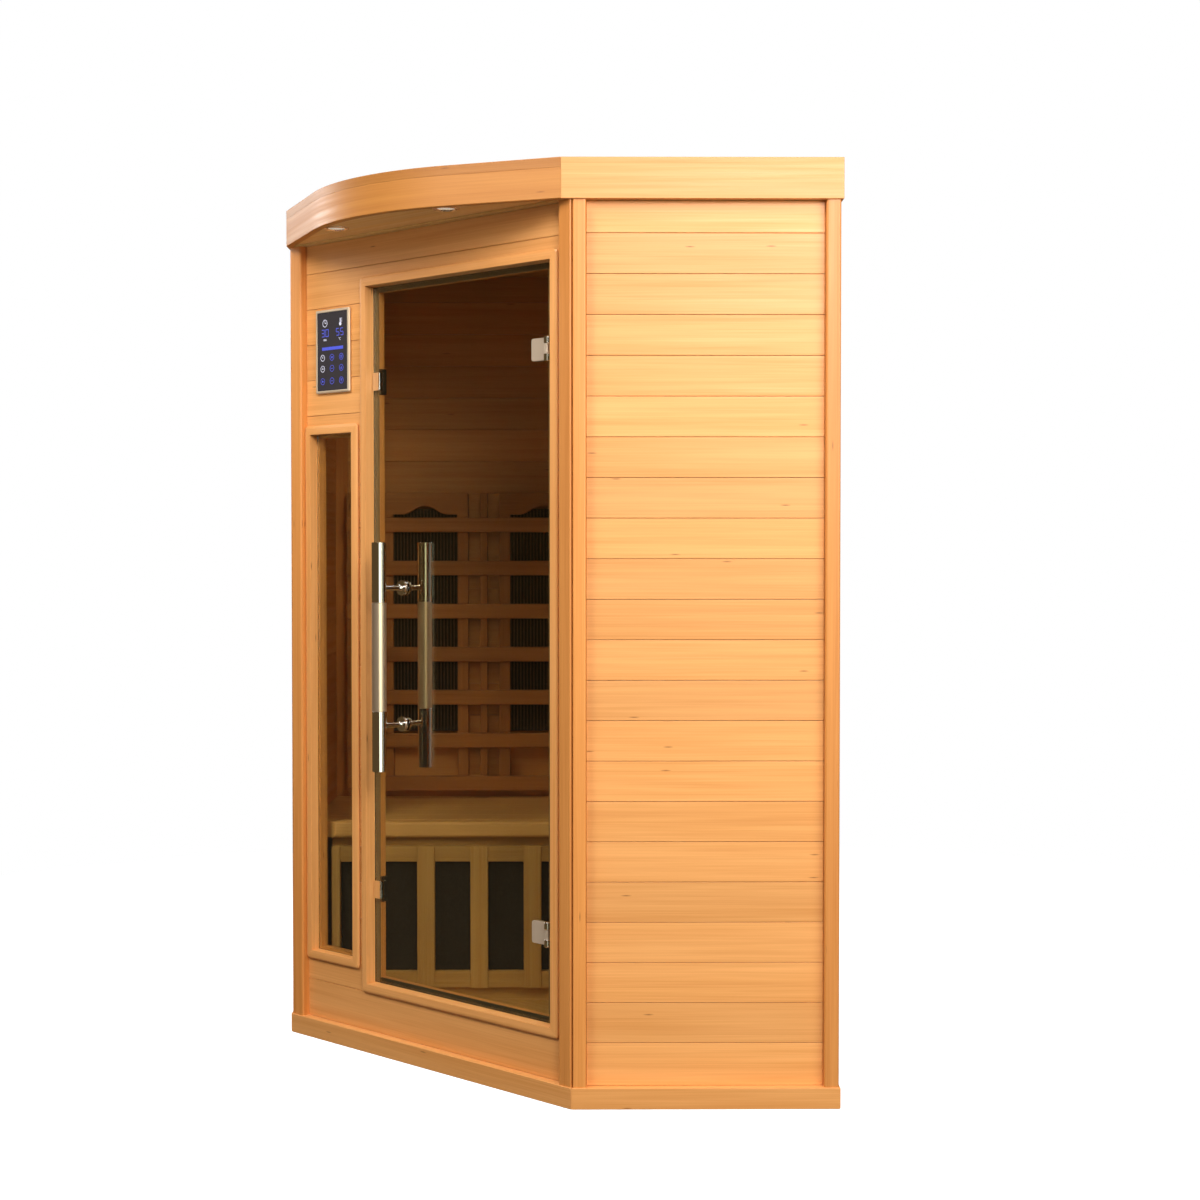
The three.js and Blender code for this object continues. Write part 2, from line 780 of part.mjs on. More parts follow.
for (const [side, flip] of [
  ["right", 1],
  ["left", -1],
]) {
  const half = new THREE.Group();
  half.scale.x = flip;
  cabin.add(half);

  const frontEnd = new THREE.Group(); // along the front wall, from the outer corner
  frontEnd.position.x = frontHalf;
  frontEnd.scale.x = -1;
  half.add(frontEnd);
  add(frontEnd, `front_${side}_post`, prism(mitredPost(frontPostWidth), plinthHeight, wallTop), hemlock);

  const sideWall = new THREE.Group();
  sideWall.position.set(frontHalf, 0, 0);
  sideWall.rotation.z = Math.PI / 4;
  half.add(sideWall);
  add(sideWall, `${side}_front_post`, prism(mitredPost(sidePostWidth), plinthHeight, wallTop), hemlock);
  add(sideWall, `${side}_wall_boards`, sideBoards, hemlock);
  const rearPost = box(sideLength - sidePostWidth, sideLength, 0, wallDepth, plinthHeight, wallTop);
  add(sideWall, `${side}_rear_post`, rearPost, hemlock);
  add(sideWall, `${side}_fascia`, fascia(bowRunAlongSide(), sideLength + roofProud), hemlock);

  const backWall = new THREE.Group();
  backWall.position.set(frontHalf + sideRun, sideRun, 0);
  backWall.rotation.z = (3 * Math.PI) / 4;
  half.add(backWall);
  const outerPost = box(outerPostStart, outerPostEnd, 0, wallDepth, plinthHeight, wallTop);
  add(backWall, `back_${side}_outer_post`, outerPost, hemlock);
  add(backWall, `back_${side}_wall_boards`, backBoards, hemlock);
  const backFasciaEnd = cabinSide + (flip > 0 ? roofProud : -fasciaInset - fit);
  add(backWall, `back_${side}_fascia`, fascia(fasciaInset + fit, backFasciaEnd), hemlock);
  add(backWall, `${side}_bench_seat`, prism(seatShape, seatBottom, seatTop), paleHemlock);
  add(backWall, `${side}_bench_apron`, apronShape, hemlock);
  add(backWall, `${side}_calf_heater`, calfHeater, blackHeater);
  add(backWall, `${side}_backrest`, backrestShape, paleHemlock);
  add(backWall, `${side}_outer_heater`, heaterShapes[0], blackHeater);
  add(backWall, `${side}_inner_heater`, heaterShapes[1], blackHeater);
  if (flip > 0) {
    const cornerPost = box(cornerPostStart, cabinSide, 0, wallDepth, plinthHeight, wallTop);
    add(backWall, "back_corner_post", cornerPost, hemlock);
  }

  add(half, `${side}_downlight`, turned(downlightProfile, downlightX, -downlightOut), warmLens);
}

// Where a side fascia starts, measured back from the front corner along its wall
function bowRunAlongSide() {
  return -bowRun * Math.SQRT2 + roofProud;
}

// Hinge brackets and catches, fixed to the cabin
for (const [level, z] of Object.entries(hingeMiddles)) {
  const low = z - hingeHeight / 2;
  const high = z + hingeHeight / 2;
  const bore = knuckleHeight / 2 + knuckleGap;
  const armStart = hingeX + knuckleRadius + knuckleGap;
  const armLow = hingeY - hingeArmThickness / 2;
  const armHigh = hingeY + hingeArmThickness / 2;
  const plateX = doorRight - revealPlateThickness;
  const bracket = join(
    box(plateX, doorRight, hingeY - revealPlateDepth / 2, hingeY + revealPlateDepth / 2, low, high),
    box(armStart, plateX, armLow, armHigh, low, high),
    box(hingeX, armStart, armLow, armHigh, z + bore, high),
    box(hingeX, armStart, armLow, armHigh, low, z - bore),
    uprightRod(knuckleRadius, hingeX, hingeY, z + bore, high),
    uprightRod(knuckleRadius, hingeX, hingeY, low, z - bore),
    uprightRod(pinRadius, hingeX, hingeY, low, high, boltSegments),
  );
  add(frontWall, `${level}_hinge_bracket`, bracket, chrome);
}

for (const [level, z] of Object.entries(strikeMiddles)) {
  const block = box(
    stopEdges.left - catchInset,
    stopEdges.left + catchProud,
    catchFace,
    catchBack,
    z - catchHeight / 2,
    z + catchHeight / 2,
  );
  add(frontWall, `${level}_magnetic_catch`, block, blackPlastic);
}

// Door, which turns about the hinge axis
const glassShape = rectangle(glassEdges);
for (const z of handleHeights) glassShape.holes.push(roundHole(handleX, z, handleBoltRadius + fit));
for (const z of Object.values(strikeMiddles))
  glassShape.holes.push(roundHole(strikeBoltX, z, boltRadius + fit));
const hingeBolts = (z) => [z - hingeBoltSpacing / 2, z + hingeBoltSpacing / 2];
for (const z of Object.values(hingeMiddles).flatMap(hingeBolts))
  glassShape.holes.push(roundHole(hingeBoltX, z, boltRadius + fit));
add(frontWall, "door_glass", onWall(glassShape, glassFace, glassBack), tintedGlass);

for (const [level, z] of Object.entries(hingeMiddles)) {
  const low = z - clampHeight / 2;
  const high = z + clampHeight / 2;
  const clampEnd = hingeX - clampNear;
  const clampStart = clampEnd - clampWidth;
  const web = box(
    clampEnd,
    hingeX,
    glassFace - clampThickness,
    hingeY + knuckleRadius,
    z - knuckleHeight / 2,
    z + knuckleHeight / 2,
  );
  const knuckle = uprightRod(knuckleRadius, hingeX, hingeY, z - knuckleHeight / 2, z + knuckleHeight / 2);
  const bore = uprightRod(pinRadius + touch, hingeX, hingeY, low, high, boltSegments);
  const leaf = join(
    cut(join(web, knuckle), bore),
    box(clampStart, clampEnd, glassFace - clampThickness, glassFace, low, high),
    box(clampStart, stopEdges.right - glassGap, glassBack, glassBack + backClampThickness, low, high),
    ...hingeBolts(z).map((boltZ) =>
      throughRod(boltRadius, hingeBoltX, boltZ, glassFace - sink, glassBack + sink, boltSegments),
    ),
  );
  add(frontWall, `${level}_hinge_leaf`, leaf, chrome);
}

for (const [level, z] of Object.entries(strikeMiddles)) {
  const low = z - strikeHeight / 2;
  const high = z + strikeHeight / 2;
  const inner = glassEdges.left + strikeWidth;
  const strike = join(
    box(glassEdges.left, inner, glassFace - strikeThickness, glassFace, low, high),
    box(stopEdges.left + strikeBackGap, inner, glassBack, glassBack + strikeBackThickness, low, high),
    throughRod(boltRadius, strikeBoltX, z, glassFace - sink, glassBack + sink, boltSegments),
  );
  add(frontWall, `${level}_strike_plate`, strike, chrome);
}

// A bar on two standoffs, each with a rosette against the glass
function handle(barY, seatY) {
  const outwards = Math.sign(barY - seatY);
  const rosetteEnd = seatY + outwards * rosetteThickness;
  const reach = (from, to) => [Math.min(from, to), Math.max(from, to)];
  const pieces = handleHeights.flatMap((z) => [
    throughRod(standoffRadius, handleX, z, ...reach(seatY, barY)),
    throughRod(rosetteRadius, handleX, z, ...reach(seatY, rosetteEnd)),
  ]);
  const low = handleMiddle - handleLength / 2;
  return join(uprightRod(handleRadius, handleX, barY, low, low + handleLength), ...pieces);
}

const handleBolts = handleHeights.map((z) =>
  throughRod(handleBoltRadius, handleX, z, glassFace - sink, glassBack, boltSegments),
);
add(frontWall, "outer_handle", join(handle(glassFace - outerReach, glassFace), ...handleBolts), satinSteel);
add(frontWall, "inner_handle", handle(glassBack + fit + innerReach, glassBack + fit), satinSteel);

const sauna = new THREE.Group();
sauna.add(cabin);

export default sauna;
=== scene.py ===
import json
import math
import random

import bmesh
import bpy
from mathutils import Matrix, Vector


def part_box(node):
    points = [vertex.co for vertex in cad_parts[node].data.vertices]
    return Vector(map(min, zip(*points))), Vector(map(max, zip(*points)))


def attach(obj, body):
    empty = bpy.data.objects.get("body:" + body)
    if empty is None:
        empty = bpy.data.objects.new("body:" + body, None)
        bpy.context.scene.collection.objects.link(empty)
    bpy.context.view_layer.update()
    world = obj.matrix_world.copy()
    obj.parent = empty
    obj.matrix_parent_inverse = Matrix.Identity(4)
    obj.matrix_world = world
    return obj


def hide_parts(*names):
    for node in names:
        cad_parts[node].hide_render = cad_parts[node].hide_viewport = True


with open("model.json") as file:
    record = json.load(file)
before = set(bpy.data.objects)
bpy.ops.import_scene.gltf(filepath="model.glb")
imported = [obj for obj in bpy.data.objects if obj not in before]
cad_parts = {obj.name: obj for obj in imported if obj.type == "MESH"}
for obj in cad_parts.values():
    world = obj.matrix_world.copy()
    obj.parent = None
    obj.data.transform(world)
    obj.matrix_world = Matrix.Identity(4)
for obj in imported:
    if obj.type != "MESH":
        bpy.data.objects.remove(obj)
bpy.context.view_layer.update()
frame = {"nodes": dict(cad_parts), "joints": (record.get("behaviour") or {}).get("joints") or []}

luck = random.Random(23)  # shades of the boards and shifts of their figure
straight = Matrix()
mirrored = Matrix.Diagonal((-1, 1, 1, 1))
halves = {"right": straight, "left": mirrored}
alongX = Vector((1, 0, 0))
alongY = Vector((0, 1, 0))
alongZ = Vector((0, 0, 1))


# Plan of the cabin, read from the frame; each wall has x along it, y inwards and z up
def wallFrame(x, y, degrees):
    return Matrix.Translation((x, y, 0)) @ Matrix.Rotation(math.radians(degrees), 4, "Z")


cornerJoint = 0.0015
postLow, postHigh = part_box("front_right_post")
frontY = postLow.y
frontHalf = postHigh.x + cornerJoint
wallBase = postLow.z
wallTop = postHigh.z
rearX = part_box("right_rear_post")[1].x
rearY = frontY + rearX - frontHalf
backY = rearY + rearX
frontFrame = wallFrame(-frontHalf, frontY, 0)
sideFrame = wallFrame(frontHalf, frontY, 45)
backFrame = wallFrame(rearX, rearY, 135)


def cornersIn(node, place):
    away = place.inverted()
    return [away @ vert.co for vert in frame["nodes"][node].data.vertices]


def spanIn(node, place):
    points = cornersIn(node, place)
    low = Vector([min(point[axis] for point in points) for axis in range(3)])
    high = Vector([max(point[axis] for point in points) for axis in range(3)])
    return low, high


def outlineIn(node, place):
    corners = sorted({(round(p.x, 5), round(p.y, 5)) for p in cornersIn(node, place)})
    midX = sum(x for x, y in corners) / len(corners)
    midY = sum(y for x, y in corners) / len(corners)
    return sorted(corners, key=lambda c: math.atan2(c[1] - midY, c[0] - midX))


def planAt(inset):
    slant = inset * math.sqrt(2)
    return [
        (0, backY - slant),
        (slant - rearX, rearY),
        (slant - inset - frontHalf, frontY + inset),
        (frontHalf + inset - slant, frontY + inset),
        (rearX - slant, rearY),
    ]


# Nodes of the finishes
def addNode(tree, kind, sockets=None, **settings):
    node = tree.nodes.new("ShaderNode" + kind)
    for name, value in settings.items():
        setattr(node, name, value)
    for name, value in (sockets or {}).items():
        if isinstance(value, bpy.types.NodeSocket):
            tree.links.new(value, node.inputs[name])
        else:
            node.inputs[name].default_value = value
    return node


def mixColours(tree, factor, first, second):
    return addNode(tree, "Mix", {0: factor, 6: first, 7: second}, data_type="RGBA").outputs[2]


def remap(tree, value, low, high, toLow, toHigh):
    ends = {"Value": value, "From Min": low, "From Max": high, "To Min": toLow, "To Max": toHigh}
    return addNode(tree, "MapRange", ends).outputs[0]


def calculate(tree, operation, first, second):
    return addNode(tree, "Math", {0: first, 1: second}, operation=operation).outputs[0]


def newFinish(name):
    finish = bpy.data.materials.new(name)
    finish.use_nodes = True
    return finish, finish.node_tree, finish.node_tree.nodes["Principled BSDF"]


def addNoise(tree, vector, scale, detail, twist=0.0):
    spread = addNode(tree, "Mapping", {"Vector": vector, "Scale": scale}).outputs[0]
    sockets = {"Vector": spread, "Scale": 1.0, "Detail": detail, "Distortion": twist}
    return addNode(tree, "TexNoise", sockets).outputs[0]


# Wood, drawn on the grain map: bands, streaks, growth lines, small knots, and a shade for each board
woodLook = {
    "bands": (0.7, 12, 1),
    "streaks": (1.5, 70, 1),
    "lines": (4, 320, 1),
    "knots": (6, 40, 1),
    "knotShare": 0.925,
    "knotSize": 0.075,
    "boardShade": (0.87, 1.06),
}


def woodFinish(name, pale, deep, knot, rough, contrast=1.0):
    finish, tree, shader = newFinish(name)
    grain = addNode(tree, "UVMap", uv_map="grain").outputs[0]
    tone = addNode(tree, "Attribute", attribute_name="tone").outputs["Fac"]
    bands = addNoise(tree, grain, woodLook["bands"], 2.0, 0.8)
    streaks = addNoise(tree, grain, woodLook["streaks"], 3.0, 0.4)
    lines = addNoise(tree, grain, woodLook["lines"], 2.0)
    figure = calculate(tree, "ADD", calculate(tree, "ADD", bands, streaks), lines)
    spread = 0.36 / contrast
    deepness = remap(tree, figure, 1.5 - spread, 1.5 + spread, 0.0, 1.0)
    colour = mixColours(tree, deepness, (*pale, 1), (*deep, 1))
    cells = addNode(tree, "Mapping", {"Vector": grain, "Scale": woodLook["knots"]}).outputs[0]
    dots = addNode(tree, "TexVoronoi", {"Vector": cells, "Scale": 1.0}, voronoi_dimensions="2D")
    near = remap(tree, dots.outputs["Distance"], 0.0, woodLook["knotSize"], 1.0, 0.0)
    pick = addNode(tree, "SeparateColor", {0: dots.outputs["Color"]}).outputs[0]
    chosen = calculate(tree, "GREATER_THAN", pick, woodLook["knotShare"])
    colour = mixColours(tree, calculate(tree, "MULTIPLY", near, chosen), colour, (*knot, 1))
    shade = remap(tree, tone, 0.2, 1.0, *woodLook["boardShade"])
    shaded = addNode(tree, "VectorMath", {0: colour, "Scale": shade}, operation="SCALE").outputs[0]
    tree.links.new(shaded, shader.inputs["Base Color"])
    tree.links.new(remap(tree, streaks, 0.3, 0.7, rough - 0.05, rough + 0.08), shader.inputs["Roughness"])
    bump = addNode(tree, "Bump", {"Height": lines, "Strength": 0.12, "Distance": 0.0004}).outputs[0]
    tree.links.new(bump, shader.inputs["Normal"])
    return finish


# Plain finishes, with a little wear in the roughness
def plainFinish(name, colour, rough, metal=0.0, wear=0.04, scale=(40, 40, 40)):
    finish, tree, shader = newFinish(name)
    shader.inputs["Base Color"].default_value = (*colour, 1)
    shader.inputs["Metallic"].default_value = metal
    spot = addNode(tree, "TexCoord").outputs["Object"]
    noise = addNoise(tree, spot, scale, 3.0)
    tree.links.new(remap(tree, noise, 0.3, 0.7, rough - wear, rough + wear), shader.inputs["Roughness"])
    return finish


def plyFinish(name, pale, deep):
    finish, tree, shader = newFinish(name)
    spot = addNode(tree, "TexCoord").outputs["Object"]
    along = addNode(tree, "Mapping", {"Vector": spot, "Rotation": (0, 0, math.radians(45))}).outputs[0]
    figure = addNoise(tree, along, (2, 30, 30), 4.0, 1.0)
    colour = mixColours(tree, remap(tree, figure, 0.35, 0.65, 0.0, 1.0), (*pale, 1), (*deep, 1))
    tree.links.new(colour, shader.inputs["Base Color"])
    shader.inputs["Roughness"].default_value = 0.7
    return finish


def glassFinish(name, tint):
    finish, tree, shader = newFinish(name)
    shader.inputs["Base Color"].default_value = (*tint, 1)
    shader.inputs["Roughness"].default_value = 0.0
    shader.inputs["IOR"].default_value = 1.45
    shader.inputs["Transmission Weight"].default_value = 1.0
    oneFace = [math.sqrt(part) for part in tint]
    clear = addNode(tree, "BsdfTransparent", {"Color": (*oneFace, 1)}).outputs[0]
    path = addNode(tree, "LightPath").outputs["Is Shadow Ray"]
    mixed = addNode(tree, "MixShader", {0: path, 1: shader.outputs[0], 2: clear}).outputs[0]
    tree.links.new(mixed, tree.nodes["Material Output"].inputs["Surface"])
    return finish


def lightFinish(name, colour, glow, strength):
    finish, tree, shader = newFinish(name)
    shader.inputs["Base Color"].default_value = (*colour, 1)
    shader.inputs["Emission Color"].default_value = (*glow, 1)
    spot = addNode(tree, "TexCoord").outputs["Object"]
    noise = addNoise(tree, spot, (300, 300, 300), 1.0)
    level = remap(tree, noise, 0.3, 0.7, strength * 0.9, strength * 1.1)
    tree.links.new(level, shader.inputs["Emission Strength"])
    shader.inputs["Roughness"].default_value = 0.4
    return finish


hemlock = woodFinish("hemlock", (0.87, 0.41, 0.132), (0.73, 0.305, 0.076), (0.3, 0.1, 0.02), 0.42)
innerHemlock = woodFinish("innerHemlock", (0.68, 0.42, 0.142), (0.56, 0.31, 0.084), (0.25, 0.08, 0.02), 0.5)
# Painted shade: a darker copy of the inside wood, for the backrest slats, standing in for the shade over the upper
# inside of the cabin
slatHemlockPaintedShade = woodFinish("slatHemlockPaintedShade", (0.54, 0.23, 0.06), (0.43, 0.16, 0.035), (0.2, 0.06, 0.015), 0.5)
plywood = plyFinish("plywood", (0.6, 0.44, 0.26), (0.5, 0.35, 0.19))
trimHemlock = woodFinish("trimHemlock", (0.76, 0.31, 0.075), (0.63, 0.225, 0.043), (0.3, 0.1, 0.02), 0.42)
# Painted shade: a darker copy of the hemlock, for the bowed fascia, standing in for less light on the bow
bowHemlockPaintedShade = woodFinish("bowHemlockPaintedShade", (0.53, 0.22, 0.046), (0.44, 0.16, 0.027), (0.25, 0.08, 0.02), 0.42)
# Painted light: a paler copy of the hemlock, for the seat planks and the soffit boards, standing in for the light on
# the seat top and under the roof edge
hemlockPaintedLight = woodFinish("hemlockPaintedLight", (0.88, 0.54, 0.2), (0.76, 0.42, 0.13), (0.3, 0.1, 0.02), 0.5)
tintedGlass = glassFinish("tintedGlass", (0.61, 0.575, 0.455))
chrome = plainFinish("chrome", (0.86, 0.85, 0.83), 0.08, 1.0, 0.02)
# Painted reflection: the hinge steel's warm tint stands in for the wood it reflects
plateSteelPaintedReflection = plainFinish("plateSteelPaintedReflection", (0.68, 0.54, 0.4), 0.34, 0.45, 0.01)
# Painted reflection: the grip's golden tint stands in for the warm wood it reflects
satinSteelPaintedReflection = plainFinish("satinSteelPaintedReflection", (0.84, 0.68, 0.5), 0.3, 0.88, 0.015, (200, 200, 6))
sealRubber = plainFinish("sealRubber", (0.24, 0.16, 0.085), 0.45)
# Painted shade: a near-black copy of the seal's rubber, for its bottom strip, standing in for the shade in the gap
# under the door's glass
sillRubberPaintedShade = plainFinish("sillRubberPaintedShade", (0.045, 0.038, 0.022), 0.5)
champagne = plainFinish("champagne", (0.66, 0.52, 0.36), 0.35, 0.3)
panelGlass = plainFinish("panelGlass", (0.045, 0.04, 0.045), 0.12, 0.0, 0.01)
blackPlastic = plainFinish("blackPlastic", (0.015, 0.014, 0.013), 0.45)
heaterBar = plainFinish("heaterBar", (0.08, 0.036, 0.01), 0.4)
carbonPanel = plainFinish("carbonPanel", (0.012, 0.007, 0.002), 0.7, 0.0, 0.08, (150, 150, 150))
downlightRing = plainFinish("downlightRing", (0.75, 0.72, 0.66), 0.25, 0.9)
downlightLens = lightFinish("downlightLens", (0.9, 0.85, 0.75), (1.0, 0.9, 0.72), 0.3)
powderCoat = plainFinish("powderCoat", (0.45, 0.45, 0.44), 0.5, 0.0, 0.08, (120, 120, 120))
blueLegend = lightFinish("blueLegend", (0.05, 0.06, 0.3), (0.06, 0.1, 0.9), 0.5)
whiteLegend = lightFinish("whiteLegend", (0.6, 0.6, 0.7), (0.8, 0.8, 1.0), 0.35)
print("finishes made")


# Mesh helpers; a face whose tone is 0 hasn't been painted yet
def startPiece():
    bm = bmesh.new()
    bm.loops.layers.uv.new("grain")
    bm.faces.layers.float.new("tone")
    return bm


def freshFaces(bm):
    tone = bm.faces.layers.float["tone"]
    return [face for face in bm.faces if face[tone] == 0]


def softenEdges(bm, edges, width, steps=2):
    bmesh.ops.bevel(
        bm, geom=edges, offset=width, offset_type="OFFSET", segments=steps,
        profile=0.5, affect="EDGES", material=-1, clamp_overlap=True,
    )


def edgesWhere(bm, test):
    return [edge for edge in bm.edges if all(test(vert.co) for vert in edge.verts)]


def freshEdges(bm):
    return list(dict.fromkeys(edge for face in freshFaces(bm) for edge in face.edges))


def longestEdge(face):
    edge = max(face.edges, key=lambda e: e.calc_length())
    return (edge.verts[1].co - edge.verts[0].co).normalized()


def paintGrain(bm, along=None):
    bm.normal_update()
    grain = bm.loops.layers.uv["grain"]
    tone = bm.faces.layers.float["tone"]
    start = Vector((luck.uniform(0, 50), luck.uniform(0, 50)))
    shade = luck.uniform(0.2, 1)
    for face in freshFaces(bm):
        face[tone] = shade
        run = along
        if along is None or abs(face.normal.dot(along)) > 0.9:
            run = longestEdge(face)
        side = face.normal.cross(run)
        for loop in face.loops:
            loop[grain].uv = (loop.vert.co.dot(run) + start.x, loop.vert.co.dot(side) + start.y)


def addBlock(bm, low, high):
    low, high = Vector(low), Vector(high)
    place = Matrix.Translation((low + high) / 2) @ Matrix.Diagonal((*(high - low), 1))
    bmesh.ops.create_cube(bm, size=1, matrix=place)


def addPlank(bm, low, high, ease=0.0012, along=None, steps=2):
    size = Vector(high) - Vector(low)
    addBlock(bm, low, high)
    softenEdges(bm, freshEdges(bm), ease, steps)
    longest = max(range(3), key=lambda axis: size[axis])
    paintGrain(bm, along or (alongX, alongY, alongZ)[longest])


def pull(bm, faces, move):
    made = bmesh.ops.extrude_face_region(bm, geom=faces)["geom"]
    verts = [item for item in made if isinstance(item, bmesh.types.BMVert)]
    bmesh.ops.translate(bm, vec=move, verts=verts)
    bmesh.ops.recalc_face_normals(bm, faces=freshFaces(bm))
    return made


def addPrism(bm, outline, bottom, top):
    base = bm.faces.new([bm.verts.new((x, y, bottom)) for x, y in outline])
    pull(bm, [base], (0, 0, top - bottom))


def addSheet(bm, outline, front, back):
    face = bm.faces.new([bm.verts.new((x, front, z)) for x, z in outline])
    pull(bm, [face], (0, back - front, 0))


def addRing(bm, edges, width, front, back):
    left, bottom, right, top = edges
    corners = [(left, bottom), (right, bottom), (right, top), (left, top)]
    plate = bm.faces.new([bm.verts.new((x, back, z)) for x, z in corners])
    plate.normal_update()
    made = bmesh.ops.inset_region(bm, faces=[plate], thickness=width, use_even_offset=True, use_boundary=True)
    bmesh.ops.delete(bm, geom=[plate], context="FACES_ONLY")
    pull(bm, made["faces"], (0, front - back, 0))


def addTurned(bm, profile, place, steps=40):
    verts = [bm.verts.new(place @ Vector((radius, 0, height))) for radius, height in profile]
    edges = [bm.edges.new(pair) for pair in zip(verts, verts[1:])]
    axis = place.to_3x3() @ alongZ
    bmesh.ops.spin(
        bm, geom=verts + edges, cent=place.translation, axis=axis,
        angle=2 * math.pi, steps=steps, use_merge=True,
    )
    rims = list(dict.fromkeys(vert for face in freshFaces(bm) for vert in face.verts))
    bmesh.ops.remove_doubles(bm, verts=rims, dist=1e-6)
    bmesh.ops.recalc_face_normals(bm, faces=freshFaces(bm))
    paintGrain(bm)


def trim(bm, point, outward):
    everything = bm.verts[:] + bm.edges[:] + bm.faces[:]
    bmesh.ops.bisect_plane(
        bm, geom=everything, dist=1e-6, plane_co=point, plane_no=outward, clear_outer=True,
    )
    rim = [edge for edge in bm.edges if edge.is_boundary]
    if rim:
        bmesh.ops.holes_fill(bm, edges=rim, sides=0)
        paintGrain(bm)


def trimTo(bm, outline):
    for (ax, ay), (bx, by) in zip(outline, outline[1:] + outline[:1]):
        trim(bm, (ax, ay, 0), (by - ay, ax - bx, 0))


def finishPiece(bm, name, finish, nodes, place=straight, body="cabin", sharp=40):
    bmesh.ops.transform(bm, matrix=place, verts=bm.verts)
    if place.determinant() < 0:
        bmesh.ops.reverse_faces(bm, faces=bm.faces)
    mesh = bpy.data.meshes.new(name)
    bm.to_mesh(mesh)
    bm.free()
    mesh.materials.append(finish)
    mesh.shade_smooth()
    mesh.set_sharp_from_angle(angle=math.radians(sharp))
    piece = bpy.data.objects.new(name, mesh)
    bpy.context.scene.collection.objects.link(piece)
    even = piece.modifiers.new("evenNormals", "WEIGHTED_NORMAL")
    even.keep_sharp = True
    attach(piece, body)
    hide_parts(*nodes)
    return piece


def keepNode(node, finish, ease=0.0):
    piece = frame["nodes"][node]
    piece.data.materials.clear()
    piece.data.materials.append(finish)
    if ease:
        weld = piece.modifiers.new("weld", "WELD")
        weld.merge_threshold = 1e-5
        round = piece.modifiers.new("ease", "BEVEL")
        round.width = ease
        round.segments = 2
        round.limit_method = "ANGLE"
        round.angle_limit = math.radians(40)


# Base: five mitred rails, and floor planks cut to the plan
plinthLook = {"proud": 0.003, "width": 0.08, "ease": 0.0015}


def makePlinth():
    bm = startPiece()
    low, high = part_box("base_plinth")
    outer = planAt(-plinthLook["proud"])
    inner = planAt(plinthLook["width"] - plinthLook["proud"])
    for here in range(5):
        after = (here + 1) % 5
        addPrism(bm, [outer[here], outer[after], inner[after], inner[here]], low.z, high.z)
        softenEdges(bm, freshEdges(bm), plinthLook["ease"])
        paintGrain(bm)
    finishPiece(bm, "plinthRails", hemlock, ["base_plinth"])


plankLook = {"floorWidth": 0.095, "ceilingWidth": 0.0812, "ease": 0.0015, "gap": 0.0006}


def makePlanks(node, name, width):
    bm = startPiece()
    low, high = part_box(node)
    side = low.y
    while side < high.y:
        end = min(side + width, high.y)
        addPlank(bm, (low.x, side + plankLook["gap"], low.z), (high.x, end, high.z), plankLook["ease"])
        side += width
    trimTo(bm, outlineIn(node, straight))
    finishPiece(bm, name, innerHemlock, [node])


makePlinth()
makePlanks("floor_panel", "floorPlanks", plankLook["floorWidth"])
makePlanks("ceiling_panel", "ceilingPlanks", plankLook["ceilingWidth"])
print("base, floor and ceiling made")

# Walls: boards on both faces of a core
boardLook = {"pitch": 0.0812, "first": 0.0865, "gap": 0.0008, "ease": 0.0009, "thick": 0.011}


def addBoards(bm, low, high):
    joints = [low.z]
    joint = low.z + boardLook["first"]
    while joint < high.z - boardLook["gap"]:
        joints.append(joint)
        joint += boardLook["pitch"]
    joints.append(high.z)
    inside = high.y - boardLook["thick"]
    outside = low.y + boardLook["thick"]
    gap = boardLook["gap"] / 2
    for bottom, top in zip(joints, joints[1:]):
        addPlank(bm, (low.x, low.y, bottom + gap), (high.x, outside, top - gap), boardLook["ease"])
        addPlank(bm, (low.x, inside, bottom + gap), (high.x, high.y, top - gap), boardLook["ease"])
    addPlank(bm, (low.x, outside - gap, low.z), (high.x, inside + gap, high.z), gap, alongX)


def cutOut(bm, openings, front, back):
    boards = bpy.data.meshes.new("uncutBoards")
    bm.to_mesh(boards)
    bm.free()
    uncut = bpy.data.objects.new("uncutBoards", boards)
    bpy.context.scene.collection.objects.link(uncut)
    spare = [uncut]
    for left, bottom, right, top in openings:
        cutter = bmesh.new()
        addBlock(cutter, (left, front, bottom), (right, back, top))
        mesh = bpy.data.meshes.new("opening")
        cutter.to_mesh(mesh)
        cutter.free()
        opening = bpy.data.objects.new("opening", mesh)
        bpy.context.scene.collection.objects.link(opening)
        spare.append(opening)
        hole = uncut.modifiers.new("hole", "BOOLEAN")
        hole.operation = "DIFFERENCE"
        hole.solver = "EXACT"
        hole.use_self = True
        hole.object = opening
    graph = bpy.context.evaluated_depsgraph_get()
    cutMesh = bpy.data.meshes.new_from_object(uncut.evaluated_get(graph))
    cut = bmesh.new()
    cut.from_mesh(cutMesh)
    for object in spare:
        bpy.data.objects.remove(object)
    paintGrain(cut)
    return cut


def edgesOf(node, shrink):
    low, high = spanIn(node, frontFrame)
    return low.x + shrink, low.z + shrink, high.x - shrink, high.z - shrink


casingLook = {
    "width": 0.021, "liner": 0.010, "corner": 0.009, "bullnose": 0.0095, "ease": 0.001, "sink": 0.001,
    "step": 0.0008,  # from the liner's face back to the ring around it
}
casingLap = casingLook["width"] - casingLook["liner"]


def makeWall(node, place):
    bm = startPiece()
    low, high = spanIn(node, place)
    addBoards(bm, low, high)
    if node == "front_wall_boards":
        holes = [edgesOf("door_casing", casingLap), edgesOf("window_casing", casingLap), edgesOf("control_box", 0)]
        bm = cutOut(bm, holes, low.y - 0.1, high.y + 0.1)
    finishPiece(bm, node + ".planked", hemlock, [node], place)


